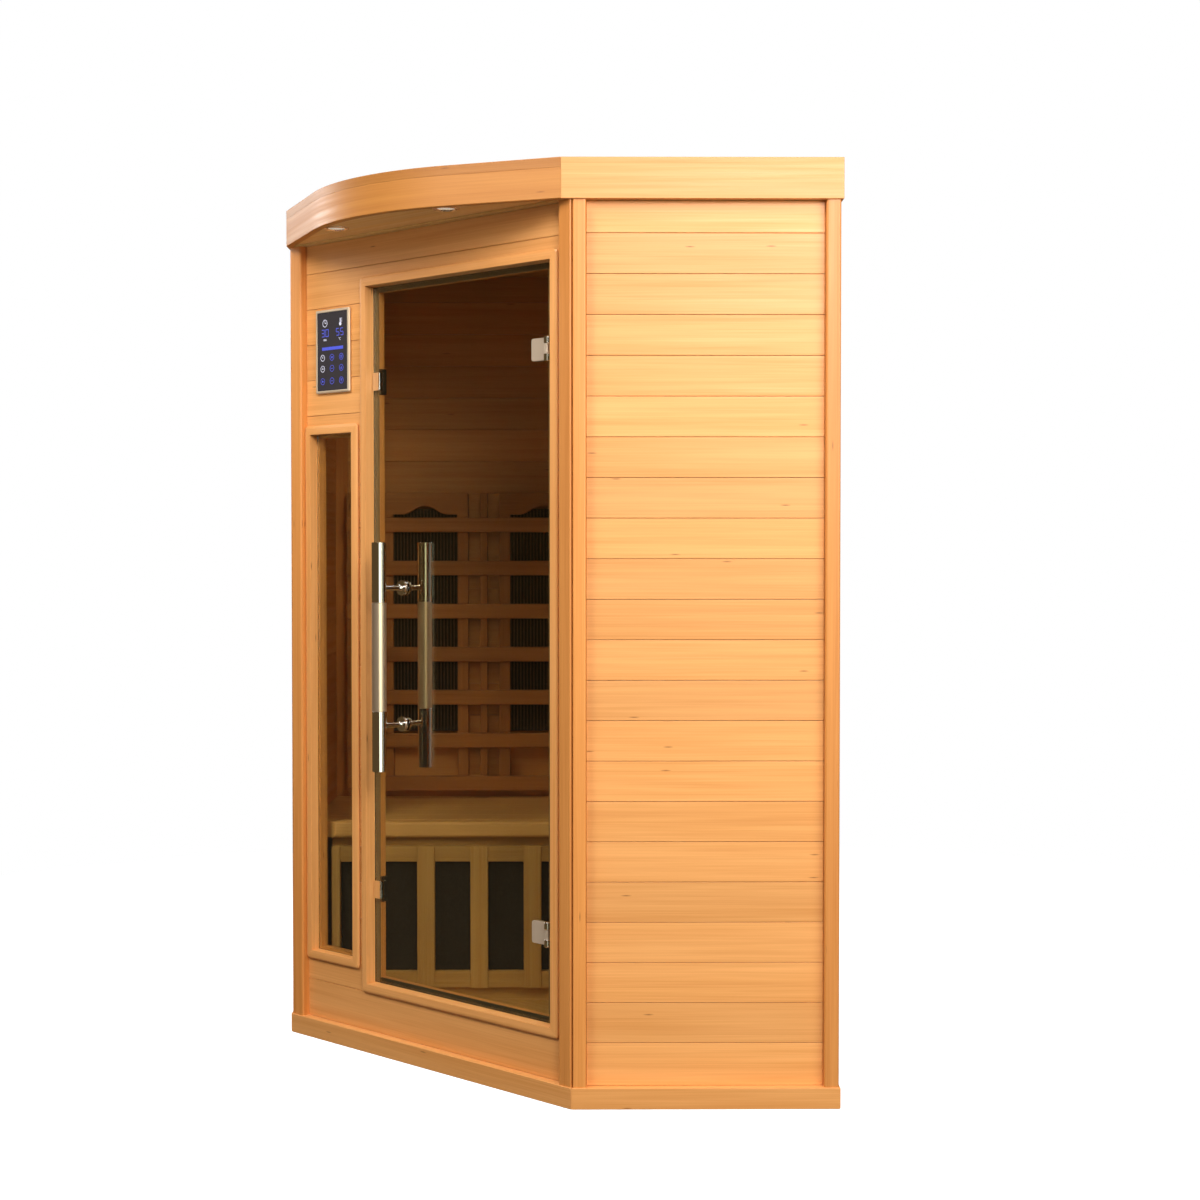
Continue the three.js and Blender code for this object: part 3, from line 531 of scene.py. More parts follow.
makeWall("front_wall_boards", frontFrame)
for side, flip in halves.items():
    makeWall(side + "_wall_boards", flip @ sideFrame)
    makeWall("back_" + side + "_wall_boards", flip @ backFrame)
print("walls made")

# Posts, with a wide round on their outer upright edges
postLook = {"round": 0.0045, "steps": 4, "ease": 0.001}


def makePost(node, place):
    bm = startPiece()
    low, high = spanIn(node, place)
    addPrism(bm, outlineIn(node, place), low.z, high.z)
    outer = [
        edge for edge in bm.edges
        if all(vert.co.y < low.y + 1e-4 for vert in edge.verts)
        and abs(edge.verts[0].co.z - edge.verts[1].co.z) > 0.1
    ]
    softenEdges(bm, outer, postLook["round"], postLook["steps"])
    paintGrain(bm, alongZ)
    finishPiece(bm, node + ".rounded", trimHemlock, [node], place)


makePost("front_left_post", frontFrame)
makePost("front_right_post", frontFrame)
makePost("back_corner_post", backFrame)
for side, flip in halves.items():
    makePost(side + "_front_post", flip @ sideFrame)
    makePost(side + "_rear_post", flip @ sideFrame)
    makePost("back_" + side + "_outer_post", flip @ backFrame)
print("posts made")


# Casings: a mitred ring with a round outer edge, and a liner through the wall
def makeCasing(node, name):
    bm = startPiece()
    low, high = spanIn(node, frontFrame)
    back = spanIn("front_wall_boards", frontFrame)[0].y + casingLook["sink"]
    front = 2 * low.y - back  # twice as deep at first: halved later, its round edge comes out broad
    outer = (low.x, low.z, high.x, high.z)
    addRing(bm, outer, casingLook["width"] - casingLook["step"], front, back)
    near = 1e-4

    def onRim(point):
        across = min(abs(point.x - low.x), abs(point.x - high.x)) < near
        return across and min(abs(point.z - low.z), abs(point.z - high.z)) < near

    softenEdges(bm, edgesWhere(bm, onRim), casingLook["corner"], 5)

    def onOuterFront(point):
        beyond = casingLook["width"] * 0.9
        inside = low.x + beyond < point.x < high.x - beyond and low.z + beyond < point.z < high.z - beyond
        return abs(point.y - front) < near and not inside

    rim = [
        edge for edge in edgesWhere(bm, onOuterFront)
        if any(abs(face.normal.y) < 0.5 for face in edge.link_faces)
    ]
    softenEdges(bm, rim, casingLook["bullnose"], 6)
    bmesh.ops.scale(bm, vec=(1, 0.5, 1), space=Matrix.Translation((0, -back, 0)), verts=bm.verts)
    paintGrain(bm)
    edge = casingLook["width"] - casingLook["liner"]
    innerEdge = casingLook["width"]
    top = (low.x + edge, low.y + 0.0005, high.z - innerEdge), (high.x - edge, high.y, high.z - edge)
    bottom = (low.x + edge, low.y + 0.0005, low.z + edge), (high.x - edge, high.y, low.z + innerEdge)
    left = (low.x + edge, low.y + 0.0005, low.z + innerEdge), (low.x + innerEdge, high.y, high.z - innerEdge)
    right = (high.x - innerEdge, low.y + 0.0005, low.z + innerEdge), (high.x - edge, high.y, high.z - innerEdge)
    for start, end in (top, bottom, left, right):
        addPlank(bm, start, end, casingLook["ease"])
    finishPiece(bm, name, hemlock, [node], frontFrame)


openingLook = {"stopLap": 0.011, "beadLap": 0.0067, "sealEase": 0.001, "glassEase": 0.0005}


# Frames of four boards behind the wall: the door's jamb, and the window's bead with its lip
def makeFrame(node, name, pane, lap):
    bm = startPiece()
    low, high = spanIn(node, frontFrame)
    front = spanIn("front_wall_boards", frontFrame)[1].y
    left, bottom, right, top = edgesOf(pane, lap)
    addPlank(bm, (low.x, front, low.z), (left, high.y, high.z))
    addPlank(bm, (right, front, low.z), high)
    addPlank(bm, (left, front, low.z), (right, high.y, bottom))
    addPlank(bm, (left, front, top), (right, high.y, high.z))
    if low.y < front:
        addRing(bm, edgesOf(pane, 0), lap, low.y, front)
        paintGrain(bm)
    finishPiece(bm, name, hemlock, [node], frontFrame)


def makeGlass(node, name, body):
    bm = startPiece()
    low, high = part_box(node)
    addPlank(bm, low, high, openingLook["glassEase"])
    finishPiece(bm, name, tintedGlass, [node], body=body)


def makeSeal():
    bm = startPiece()
    low, high = spanIn("door_seal", frontFrame)
    lap, ease = openingLook["stopLap"], openingLook["sealEase"]
    addPlank(bm, low, (low.x + lap, high.y, high.z), ease)
    addPlank(bm, (high.x - lap, low.y, low.z), high, ease)
    addPlank(bm, (low.x + lap, low.y, high.z - lap), (high.x - lap, high.y, high.z), ease)
    finishPiece(bm, "sealRing", sealRubber, ["door_seal"], frontFrame)
    # The bottom strip of the seal is its own darker piece, painted shade under the glass
    bm = startPiece()
    addPlank(bm, (low.x + lap, low.y, low.z), (high.x - lap, high.y, low.z + lap), ease)
    finishPiece(bm, "sillSealPaintedShade", sillRubberPaintedShade, ["door_seal"], frontFrame)


makeCasing("door_casing", "doorCasing")
makeCasing("window_casing", "windowCasing")
makeFrame("door_jamb", "doorJamb", "door_glass", openingLook["stopLap"])
makeFrame("window_bead", "windowBead", "window_glass", openingLook["beadLap"])
makeSeal()
makeGlass("window_glass", "windowPane", "cabin")
makeGlass("door_glass", "doorPane", "door")
print("openings made")

# Roof edge: a bow of two bands with straight ends, straight fascias, a soffit in boards
roofLook = {"upperBand": 0.02, "joint": 0.0002, "ease": 0.0012, "bowSteps": 40, "soffitWidth": 0.09, "slope": 23.5}
fasciaLow, fasciaHigh = spanIn("right_fascia", sideFrame)
fasciaThick = fasciaHigh.y - fasciaLow.y
bowLow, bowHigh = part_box("front_fascia")
bowEnd = sideFrame @ Vector((fasciaLow.x, fasciaLow.y, 0))
bowAngle = math.radians(roofLook["slope"])
bowRise = bowEnd.y - bowLow.y
bowRadius = (bowEnd.x * math.tan(bowAngle) - bowRise) / (1 / math.cos(bowAngle) - 1)
bowCentre = Vector((0, bowLow.y + bowRadius, 0))
bowStraight = (bowEnd.x - bowRadius * math.sin(bowAngle)) / math.cos(bowAngle)


def paintBow(bm):
    bm.normal_update()
    grain = bm.loops.layers.uv["grain"]
    tone = bm.faces.layers.float["tone"]
    start = Vector((luck.uniform(0, 50), luck.uniform(0, 50)))
    shade = luck.uniform(0.2, 1)
    for face in freshFaces(bm):
        face[tone] = shade
        for loop in face.loops:
            arm = loop.vert.co - bowCentre
            angle = max(-bowAngle, min(bowAngle, math.atan2(arm.x, -arm.y)))
            out = arm.x * math.sin(angle) - arm.y * math.cos(angle)
            run = angle * bowRadius + arm.x * math.cos(angle) + arm.y * math.sin(angle)
            loop[grain].uv = (run + start.x, loop.vert.co.z + out + start.y)


def addBand(bm, bottom, top, easeBelow, easeAbove):
    front = bowLow.y
    back = bowLow.y + fasciaThick
    section = [
        (front + easeBelow, bottom), (back, bottom), (back, top), (front + easeAbove, top),
        (front, top - easeAbove), (front, bottom + easeBelow),
    ]
    turn = Matrix.Rotation(-bowAngle, 3, "Z")
    reach = bowStraight + 2 * fasciaThick  # past the cut at each end
    toMiddle = turn @ (alongX * reach)
    away = bowCentre - toMiddle
    verts = [bm.verts.new(away + turn @ (Vector((0, y, z)) - bowCentre)) for y, z in section]
    end = pull(bm, [bm.faces.new(verts)], toMiddle)
    spun = bmesh.ops.spin(
        bm, geom=end, cent=bowCentre, axis=alongZ,
        angle=2 * bowAngle, steps=roofLook["bowSteps"], use_merge=False,
    )
    last = [item for item in spun["geom_last"] if isinstance(item, bmesh.types.BMFace)]
    pull(bm, last, turn.inverted() @ (alongX * reach))
    paintBow(bm)


def makeBow():
    bm = startPiece()
    split = bowHigh.z - roofLook["upperBand"]
    addBand(bm, bowLow.z, split - roofLook["joint"], roofLook["ease"], roofLook["joint"])
    addBand(bm, split, bowHigh.z, roofLook["joint"], roofLook["ease"])
    trim(bm, (bowEnd.x, bowEnd.y, 0), (1, 1, 0))
    trim(bm, (-bowEnd.x, bowEnd.y, 0), (-1, 1, 0))
    # The bow takes the darker copy of the hemlock, painted shade
    finishPiece(bm, "bowedFascia", bowHemlockPaintedShade, ["front_fascia"])


def makeFascia(node, place):
    bm = startPiece()
    low, high = spanIn(node, place)
    addPlank(bm, low, high, roofLook["ease"])
    finishPiece(bm, node + ".eased", hemlock, [node], place)


def makeSoffit():
    bm = startPiece()
    low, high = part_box("front_soffit")
    edge = low.y
    while edge < high.y:
        end = min(edge + roofLook["soffitWidth"], high.y)
        addPlank(bm, (low.x, edge, low.z), (high.x, end, high.z), roofLook["joint"])
        edge = end
    inner = bowRadius - fasciaThick
    steps = roofLook["bowSteps"] // 2
    angles = [bowAngle * (2 * step / steps - 1) for step in range(steps + 1)]
    arc = [(inner * math.sin(angle), bowCentre.y - inner * math.cos(angle)) for angle in angles]
    tipX = inner * math.sin(bowAngle) + bowStraight * math.cos(bowAngle)
    tipY = bowCentre.y - inner * math.cos(bowAngle) + bowStraight * math.sin(bowAngle)
    trimTo(bm, [(-tipX, tipY), *arc, (tipX, tipY), (high.x, high.y), (low.x, high.y)])
    sideIn = sideFrame @ Vector((0, fasciaHigh.y, 0))
    trim(bm, (sideIn.x, sideIn.y, 0), (1, -1, 0))
    trim(bm, (-sideIn.x, sideIn.y, 0), (-1, -1, 0))
    # The soffit boards take the paler copy of the hemlock, painted light
    finishPiece(bm, "soffitBoards", hemlockPaintedLight, ["front_soffit"])


makeBow()
makeSoffit()
for side, flip in halves.items():
    makeFascia(side + "_fascia", flip @ sideFrame)
    makeFascia("back_" + side + "_fascia", flip @ backFrame)
keepNode("roof_deck", plywood)
keepNode("power_box", powderCoat, 0.003)
keepNode("mains_inlet", blackPlastic, 0.002)
print("roof made")

# Downlights: a ring with a dished lens
downlightLook = {"lens": 0.019, "lip": 0.003, "sink": 0.0025}


def makeDownlight(node, name):
    low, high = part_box(node)
    place = Matrix.Translation(((low.x + high.x) / 2, (low.y + high.y) / 2, low.z))
    rim = (high.x - low.x) / 2
    lens, lip, sink = downlightLook["lens"], downlightLook["lip"], downlightLook["sink"]
    body = rim - lip - 0.001
    ring = startPiece()
    profile = [
        (lens, sink), (lens + lip, 0), (rim - lip, 0), (rim - 0.001, 0.0006), (rim, 0.0015), (rim, 0.003),
        (body, 0.003), (body, high.z - low.z), (lens, high.z - low.z), (lens, sink),
    ]
    addTurned(ring, profile, place)
    finishPiece(ring, name + "Ring", downlightRing, [node])
    pane = startPiece()
    dome = [(0, sink * 0.6), (lens * 0.5, sink * 0.7), (lens, sink), (lens, 2 * sink), (0, 2 * sink)]
    addTurned(pane, dome, place)
    finishPiece(pane, name + "Lens", downlightLens, [node])


makeDownlight("left_downlight", "leftDownlight")
makeDownlight("right_downlight", "rightDownlight")
print("downlights made")

# Bench: planks with a front nosing, and the slatted apron below
benchLook = {"planks": 5, "gap": 0.002, "nosing": 0.048, "ease": 0.0025, "noseRound": 0.008}
apronLook = {
    "first": 0.1885, "pitch": 0.124, "slat": 0.041, "stile": 0.02, "rail": 0.038, "bottomRail": 0.04,
    "top": 0.433, "bottom": 0.099, "thick": 0.02, "sunk": 0.004, "ease": 0.002, "lap": 0.003,
}


def makeSeat(side, flip):
    node = side + "_bench_seat"
    place = flip @ backFrame
    bm = startPiece()
    low, high = spanIn(node, place)
    noseBack = high.y - benchLook["nosing"]
    width = (noseBack - low.y) / benchLook["planks"]
    for plank in range(benchLook["planks"]):
        start = low.y + plank * width
        end = start + width - benchLook["gap"]
        addPlank(bm, (low.x, start, low.z), (high.x, end, high.z), benchLook["ease"])
    addPlank(bm, (low.x, noseBack, low.z), high, benchLook["noseRound"], alongX, 4)
    trimTo(bm, outlineIn(node, place))
    # The seat planks take the paler copy of the hemlock, painted light on the seat
    finishPiece(bm, side + "SeatPlanks", hemlockPaintedLight, [node], place)


def makeApron(side, flip):
    node = side + "_bench_apron"
    place = flip @ backFrame
    bm = startPiece()
    low, high = spanIn(node, place)
    look = apronLook
    back = high.y - look["thick"]
    face = high.y - look["sunk"]
    bottom, top = look["bottom"], look["top"]
    spans = [(low.x, low.x + look["stile"]), (high.x - look["stile"], high.x)]
    middle = look["first"]
    while middle < high.x - look["stile"] - look["slat"] / 2:
        spans.append((middle - look["slat"] / 2, middle + look["slat"] / 2))
        middle += look["pitch"]
    for left, right in spans:
        addPlank(bm, (left, back, bottom), (right, high.y, top), look["ease"])
    addPlank(bm, (low.x, back, bottom + 0.001), (high.x, face, bottom + look["bottomRail"]), look["ease"])
    addPlank(bm, (low.x, back, top - look["rail"]), (high.x, face, top - 0.001), look["ease"])
    addPlank(bm, low, (high.x, back + look["lap"], bottom + look["lap"]))
    addPlank(bm, (low.x, low.y, top - look["lap"]), (high.x, back + look["lap"], high.z))
    finishPiece(bm, side + "ApronSlats", innerHemlock, [node], place)


# Backrests: slats over uprights, with an arched board over each heater
backrestLook = {
    "slat": 0.037, "pitch": 0.1095, "count": 7, "thick": 0.018, "stile": 0.018, "ease": 0.003,
    "boardWidth": 0.217, "heater": 0.163, "fromDivider": 0.148, "slot": 0.008, "arch": 0.03,
    "archWidth": 0.113, "archSteps": 24, "lap": 0.003,
}


def makeBackrest(side, flip):
    node = side + "_backrest"
    place = flip @ backFrame
    bm = startPiece()
    low, high = spanIn(node, place)
    look = backrestLook
    slatBack = high.y - look["thick"]
    middle = (low.x + high.x) / 2
    for step in range(look["count"]):
        z = low.z + step * look["pitch"]
        addPlank(bm, (low.x, slatBack, z), (high.x, high.y, z + look["slat"]), look["ease"])
    archBottom = low.z + (look["count"] - 1) * look["pitch"] + look["slat"]
    half = look["stile"] / 2
    for stile in (low.x + half, middle, high.x - half):
        addPlank(bm, (stile - half, low.y, low.z), (stile + half, slatBack + look["lap"], high.z))
    for heater in (middle - look["fromDivider"], middle + look["fromDivider"]):
        left, right = heater - look["boardWidth"] / 2, heater + look["boardWidth"] / 2
        holeLeft, holeRight = heater - look["heater"] / 2, heater + look["heater"] / 2
        slot = archBottom + look["slot"]
        bell = []
        for step in range(look["archSteps"] + 1):
            part = step / look["archSteps"]
            rise = (look["arch"] - look["slot"]) * (1 - math.cos(2 * math.pi * part)) / 2
            bell.append((heater + (part - 0.5) * look["archWidth"], slot + rise))
        outline = [(left, archBottom), (holeLeft, archBottom), (holeLeft, slot), *bell, (holeRight, slot)]
        outline += [(holeRight, archBottom), (right, archBottom), (right, high.z), (left, high.z)]
        addSheet(bm, outline, slatBack, high.y)
        front = edgesWhere(bm, lambda point: point.y > high.y - 1e-5 and point.z > archBottom - 1e-5)
        fresh = set(freshEdges(bm))
        softenEdges(bm, [edge for edge in front if edge in fresh], 0.0012, 2)
        paintGrain(bm, alongX)
        for start, end in ((left, holeLeft), (holeRight, right)):
            addPlank(bm, (start, low.y, low.z), (end, slatBack + look["lap"], high.z - 0.002))
    # The backrests take the darker copy of the inside wood, painted shade
    finishPiece(bm, side + "BackrestSlats", slatHemlockPaintedShade, [node], place)


# Heaters: a housing, a carbon panel and a grille of thin bars
heaterLook = {"bars": 20, "bar": 0.0028, "grille": 0.006, "ease": 0.0015}


def makeHeater(node, name, place):
    low, high = spanIn(node, place)
    body = startPiece()
    grille = startPiece()
    faceBack = high.y - 0.012
    addPlank(body, low, (high.x, faceBack, high.z), heaterLook["ease"])
    pitch = (high.x - low.x - heaterLook["bar"]) / (heaterLook["bars"] - 1)
    for bar in range(heaterLook["bars"]):
        left = low.x + bar * pitch
        start = (left, high.y - heaterLook["grille"], low.z)
        addPlank(grille, start, (left + heaterLook["bar"], high.y, high.z), 0.0008, alongZ)
    for bottom, top in ((low.z, low.z + 0.012), (high.z - 0.012, high.z)):
        addPlank(body, (low.x, faceBack - 0.001, bottom), (high.x, high.y - 0.001, top))
    finishPiece(body, name, carbonPanel, [node], place)
    finishPiece(grille, name + "Grille", heaterBar, [node], place)


for side, flip in halves.items():
    makeSeat(side, flip)
    makeApron(side, flip)
    makeBackrest(side, flip)
    makeHeater(side + "_outer_heater", side + "OuterHeater", flip @ backFrame)
    makeHeater(side + "_inner_heater", side + "InnerHeater", flip @ backFrame)
    keepNode(side + "_calf_heater", carbonPanel, 0.001)
print("bench, backrests and heaters made")

# Control panel: bezel, glass and lit legends
panelLook = {"bezelRound": 0.008, "bezelEase": 0.0012, "proud": 0.0002}
bezelLow, bezelHigh = spanIn("control_bezel", frontFrame)
faceLow, faceHigh = spanIn("control_glass", frontFrame)
legendFront = faceLow.y - panelLook["proud"]
legendBack = faceLow.y + panelLook["proud"]


def onPanel(across, down):
    return (
        faceLow.x + across * (faceHigh.x - faceLow.x),
        faceHigh.z - down * (faceHigh.z - faceLow.z),
    )


def makePanel():
    bezel = startPiece()
    edges = (bezelLow.x, bezelLow.z, bezelHigh.x, bezelHigh.z)
    addRing(bezel, edges, faceLow.x - bezelLow.x, bezelLow.y, bezelHigh.y)

    def onCorner(point):
        across = min(abs(point.x - bezelLow.x), abs(point.x - bezelHigh.x)) < 1e-4
        return across and min(abs(point.z - bezelLow.z), abs(point.z - bezelHigh.z)) < 1e-4

    softenEdges(bezel, edgesWhere(bezel, onCorner), panelLook["bezelRound"], 5)
    front = [
        edge for edge in edgesWhere(bezel, lambda point: point.y < bezelLow.y + 1e-5)
        if any(abs(face.normal.y) < 0.5 for face in edge.link_faces)
    ]
    softenEdges(bezel, front, panelLook["bezelEase"])
    paintGrain(bezel)
    finishPiece(bezel, "panelBezel", champagne, ["control_bezel"], frontFrame)
    face = startPiece()
    addPlank(face, faceLow, faceHigh, 0.0006)
    finishPiece(face, "panelFace", panelGlass, ["control_glass"], frontFrame)
    keepNode("control_box", blackPlastic)


def addMark(bm, left, bottom, right, top):
    addPlank(bm, (left, legendFront, bottom), (right, legendBack, top), 0.00015, None, 1)


def addCircle(bm, x, z, radius, thick):
    place = Matrix.Translation((x, legendFront, z)) @ Matrix.Rotation(math.radians(-90), 4, "X")
    depth = legendBack - legendFront
    inner = radius - thick
    addTurned(bm, [(inner, 0), (radius, 0), (radius, depth), (inner, depth), (inner, 0)], place, 24)


digitLook = {"width": 0.0115, "height": 0.017, "bar": 0.0018, "slope": 0.0}
digitBars = {
    "0": "abcdef", "1": "bc", "2": "abdeg", "3": "abcdg", "4": "bcfg",
    "5": "acdfg", "6": "acdefg", "7": "abc", "8": "abcdefg", "9": "abcdfg",
}


def addDigit(bm, figure, x, z):
    width, height, bar = digitLook["width"], digitLook["height"], digitLook["bar"]
    left, right = x - width / 2, x + width / 2
    low, mid, high = z - height / 2, z, z + height / 2
    near = 0.0003
    places = {
        "a": (left + bar, high - bar, right - bar, high),
        "b": (right - bar, mid + near, right, high - near),
        "c": (right - bar, low + near, right, mid - near),
        "d": (left + bar, low, right - bar, low + bar),
        "e": (left, low + near, left + bar, mid - near),
        "f": (left, mid + near, left + bar, high - near),
        "g": (left + bar, mid - bar / 2, right - bar, mid + bar / 2),
    }
    for bar in digitBars[figure]:
        addMark(bm, *places[bar])


def addWords(bm, words, height, x, z):
    curve = bpy.data.curves.new("words", "FONT")
    curve.body = words
    curve.size = height
    curve.align_x = "CENTER"
    curve.align_y = "CENTER"
    curve.extrude = panelLook["proud"]
    holder = bpy.data.objects.new("words", curve)
    bpy.context.scene.collection.objects.link(holder)
    graph = bpy.context.evaluated_depsgraph_get()
    mesh = bpy.data.meshes.new_from_object(holder.evaluated_get(graph))
    bpy.data.objects.remove(holder)
    mesh.transform(Matrix.Translation((x, faceLow.y, z)) @ Matrix.Rotation(math.radians(90), 4, "X"))
    bm.from_mesh(mesh)
    paintGrain(bm)


keyLook = {"columns": (0.18, 0.49, 0.8), "rows": (0.58, 0.72, 0.88), "radius": 0.0075, "thick": 0.0011}
keySigns = (("power", "plus", "dot"), ("lamp", "minus", "bar"), ("rays", "up", "down"))


def addSign(bm, sign, x, z):
    part = 0.0035
    thin = 0.0006
    if sign in ("plus", "minus", "bar"):
        addMark(bm, x - part, z - thin, x + part, z + thin)
    if sign in ("plus", "power"):
        addMark(bm, x - thin, z - part * 0.4, x + thin, z + part)
    if sign in ("dot", "lamp"):
        addCircle(bm, x, z, part * 0.7, part * 0.6)
    if sign == "rays":
        for shift in (-2 * part / 3, 0, 2 * part / 3):
            addMark(bm, x + shift - thin, z - part, x + shift + thin, z + part)
    if sign in ("up", "down"):
        flip = 1 if sign == "up" else -1
        for step in range(4):
            width = part * (1 - step / 4)
            height = z + flip * (step - 1.5) * part / 2
            addMark(bm, x - width, height - thin, x + width, height + thin)


def makeLegends():
    white = startPiece()
    blue = startPiece()
    clockX, clockZ = onPanel(0.26, 0.14)
    addCircle(white, clockX, clockZ, 0.0085, 0.0012)
    addMark(white, clockX - 0.0006, clockZ, clockX + 0.0006, clockZ + 0.0055)
    addMark(white, clockX, clockZ - 0.0006, clockX + 0.004, clockZ + 0.0006)
    heatX, heatZ = onPanel(0.77, 0.14)
    addCircle(white, heatX, heatZ - 0.0045, 0.004, 0.0035)
    addMark(white, heatX - 0.0015, heatZ - 0.003, heatX + 0.0015, heatZ + 0.0085)
    for tick in range(4):
        addMark(white, heatX + 0.0035, heatZ - 0.001 + tick * 0.0027, heatX + 0.0065, heatZ + tick * 0.0027)
    spacing = digitLook["width"] * 0.65
    for across, figures in ((0.26, "30"), (0.75, "55")):
        x, z = onPanel(across, 0.265)
        addDigit(blue, figures[0], x - spacing, z)
        addDigit(blue, figures[1], x + spacing, z)
    addWords(white, "MIN", 0.0065, *onPanel(0.26, 0.355))
    addWords(white, "°C", 0.0075, *onPanel(0.75, 0.355))
    left, top = onPanel(0.16, 0.445)
    right, bottom = onPanel(0.86, 0.485)
    addPlank(blue, (left, legendFront, bottom), (right, legendBack, top), 0.00015)
    for column, across in enumerate(keyLook["columns"]):
        for row, down in enumerate(keyLook["rows"]):
            target = white if column == 0 and row < 2 else blue
            x, z = onPanel(across, down)
            addCircle(target, x, z, keyLook["radius"], keyLook["thick"])
            addSign(target, keySigns[column][row], x, z)
    finishPiece(white, "whiteLegends", whiteLegend, ["control_glass"], frontFrame)
    finishPiece(blue, "blueLegends", blueLegend, ["control_glass"], frontFrame)


makePanel()
makeLegends()
print("control panel made")

# Hinges: a leaf clamped on the glass, a bracket in the reveal, and the pin between them
hingeLook = {
    "plate": 0.005, "back": 0.003, "near": 0.0085, "knuckle": 0.0065, "slim": 0.0048, "bore": 0.0104,
    "pin": 0.0025, "corner": 0.005, "ease": 0.0008, "reveal": 0.003,
}
hingeX, hingeY = frame["joints"][0]["pos_m"][:2]
paneLow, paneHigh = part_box("door_glass")


def addPlate(bm, low, high, corner, ease):
    addBlock(bm, low, high)
    upright = [
        edge for edge in freshEdges(bm)
        if abs(edge.verts[0].co.y - edge.verts[1].co.y) > 1e-5
    ]
    softenEdges(bm, upright, corner, 4)
    fresh = freshEdges(bm)
    softenEdges(bm, [e for e in fresh if abs(e.verts[0].co.y - e.verts[1].co.y) < 1e-6], ease, 2)
    paintGrain(bm)


def makeHinge(level):
    look = hingeLook
    leafNode, bracketNode = level + "_hinge_leaf", level + "_hinge_bracket"
    low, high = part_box(leafNode)
    middle = (low.z + high.z) / 2
    leaf = startPiece()
    end = hingeX - look["near"]
    addPlate(leaf, (low.x, paneLow.y - look["plate"], low.z), (end, paneLow.y, high.z), look["corner"], look["ease"])
    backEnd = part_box("door_jamb")[1].x - 0.065
    addPlate(leaf, (low.x, paneHigh.y, low.z), (min(backEnd, end), high.y, high.z), look["corner"], look["ease"])
    web = look["bore"] - 0.0006
    webLow = (end - 0.001, hingeY - look["pin"], middle - web)
    addPlank(leaf, webLow, (hingeX, paneLow.y - 0.001, middle + web), 0.0005)
    axis = Matrix.Translation((hingeX, hingeY, 0))
    slim = look["slim"]
    addTurned(leaf, [(0, middle - web), (slim, middle - web), (slim, middle + web), (0, middle + web)], axis, 28)
    # The hinge leaf's warm tint is painted reflection
    finishPiece(leaf, level + "HingeLeaf", plateSteelPaintedReflection, [leafNode], body="door")
    low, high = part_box(bracketNode)
    bracket = startPiece()
    radius, ease = look["knuckle"], look["ease"]
    for start, stop in ((low.z, middle - look["bore"]), (middle + look["bore"], high.z)):
        profile = [(0, start), (radius - ease, start), (radius, start + ease)]
        profile += [(radius, stop - ease), (radius - ease, stop), (0, stop)]
        addTurned(bracket, profile, axis, 28)
        addPlank(bracket, (hingeX, hingeY - 0.002, start + ease), (high.x - 0.001, hingeY + 0.002, stop - ease), 0.0005)
    addTurned(bracket, [(0, low.z + 0.001), (look["pin"], low.z + 0.001), (look["pin"], high.z - 0.001), (0, high.z - 0.001)], axis, 16)
    addPlank(bracket, (high.x - look["reveal"], low.y, low.z), high, 0.0008)
    finishPiece(bracket, level + "HingeBracket", chrome, [bracketNode])


# Strike plates on the glass and magnetic catches on the jamb
strikeLook = {"corner": 0.002, "ease": 0.0007, "backStart": 0.0118}


def makeStrike(level):
    node = level + "_strike_plate"
    low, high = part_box(node)
    bm = startPiece()
    addPlate(bm, low, (high.x, paneLow.y, high.z), strikeLook["corner"], strikeLook["ease"])
    backLow = (low.x + strikeLook["backStart"], paneHigh.y, low.z)
    addPlate(bm, backLow, high, strikeLook["corner"], strikeLook["ease"])
    finishPiece(bm, level + "StrikePlate", chrome, [node], body="door")
    keepNode(level + "_magnetic_catch", blackPlastic, 0.0012)


for level in ("upper", "lower"):
    makeHinge(level)
    makeStrike(level)
print("hinges and catches made")

# Handles: a satin grip between polished ends, on standoffs with grooved rosettes
handleLook = {"radius": 0.016, "grip": 0.118, "standoff": 0.0062, "rosette": 0.017, "thick": 0.007, "ease": 0.001}


def makeHandle(node, name, outwards):
    low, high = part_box(node)
    look = handleLook
    x = (low.x + high.x) / 2
    radius, ease = look["radius"], look["ease"]
    barY = low.y + radius if outwards < 0 else high.y - radius
    seat = paneLow.y if outwards < 0 else paneHigh.y
    middle = (low.z + high.z) / 2
    bar = Matrix.Translation((x, barY, 0))
    grip = startPiece()
    ends = startPiece()
    bottom, top = middle - look["grip"], middle + look["grip"]
    addTurned(grip, [(0, bottom), (radius, bottom), (radius, top), (0, top)], bar, 56)
    for start, stop in ((low.z, bottom - 0.0004), (top + 0.0004, high.z)):
        profile = [(0, start), (radius - ease, start), (radius, start + ease)]
        profile += [(radius, stop - 0.0004), (radius - 0.0004, stop), (0, stop)]
        addTurned(ends, profile, bar, 56)
    for z in (middle - 0.15, middle + 0.15):
        turn = Matrix.Rotation(math.radians(90 if outwards < 0 else -90), 4, "X")
        stem = Matrix.Translation((x, seat, z)) @ turn
        reach = abs(barY - seat)
        thick, rose, rod = look["thick"], look["rosette"], look["standoff"]
        profile = [
            (0, 0), (rose, 0), (rose, thick * 0.4), (rose - 0.0015, thick * 0.5), (rose - 0.0015, thick * 0.6),
            (rose - 0.0004, thick * 0.7), (rose - 0.0012, thick), (rod + 0.003, thick), (rod, thick + 0.002),
            (rod, reach), (0, reach),
        ]
        addTurned(ends, profile, stem, 40)
    # The grip's golden tint is painted reflection
    finishPiece(grip, name + "Grip", satinSteelPaintedReflection, [node], body="door")
    finishPiece(ends, name + "Ends", chrome, [node], body="door")


makeHandle("outer_handle", "outerHandle", -1)
makeHandle("inner_handle", "innerHandle", 1)
print("handles made")

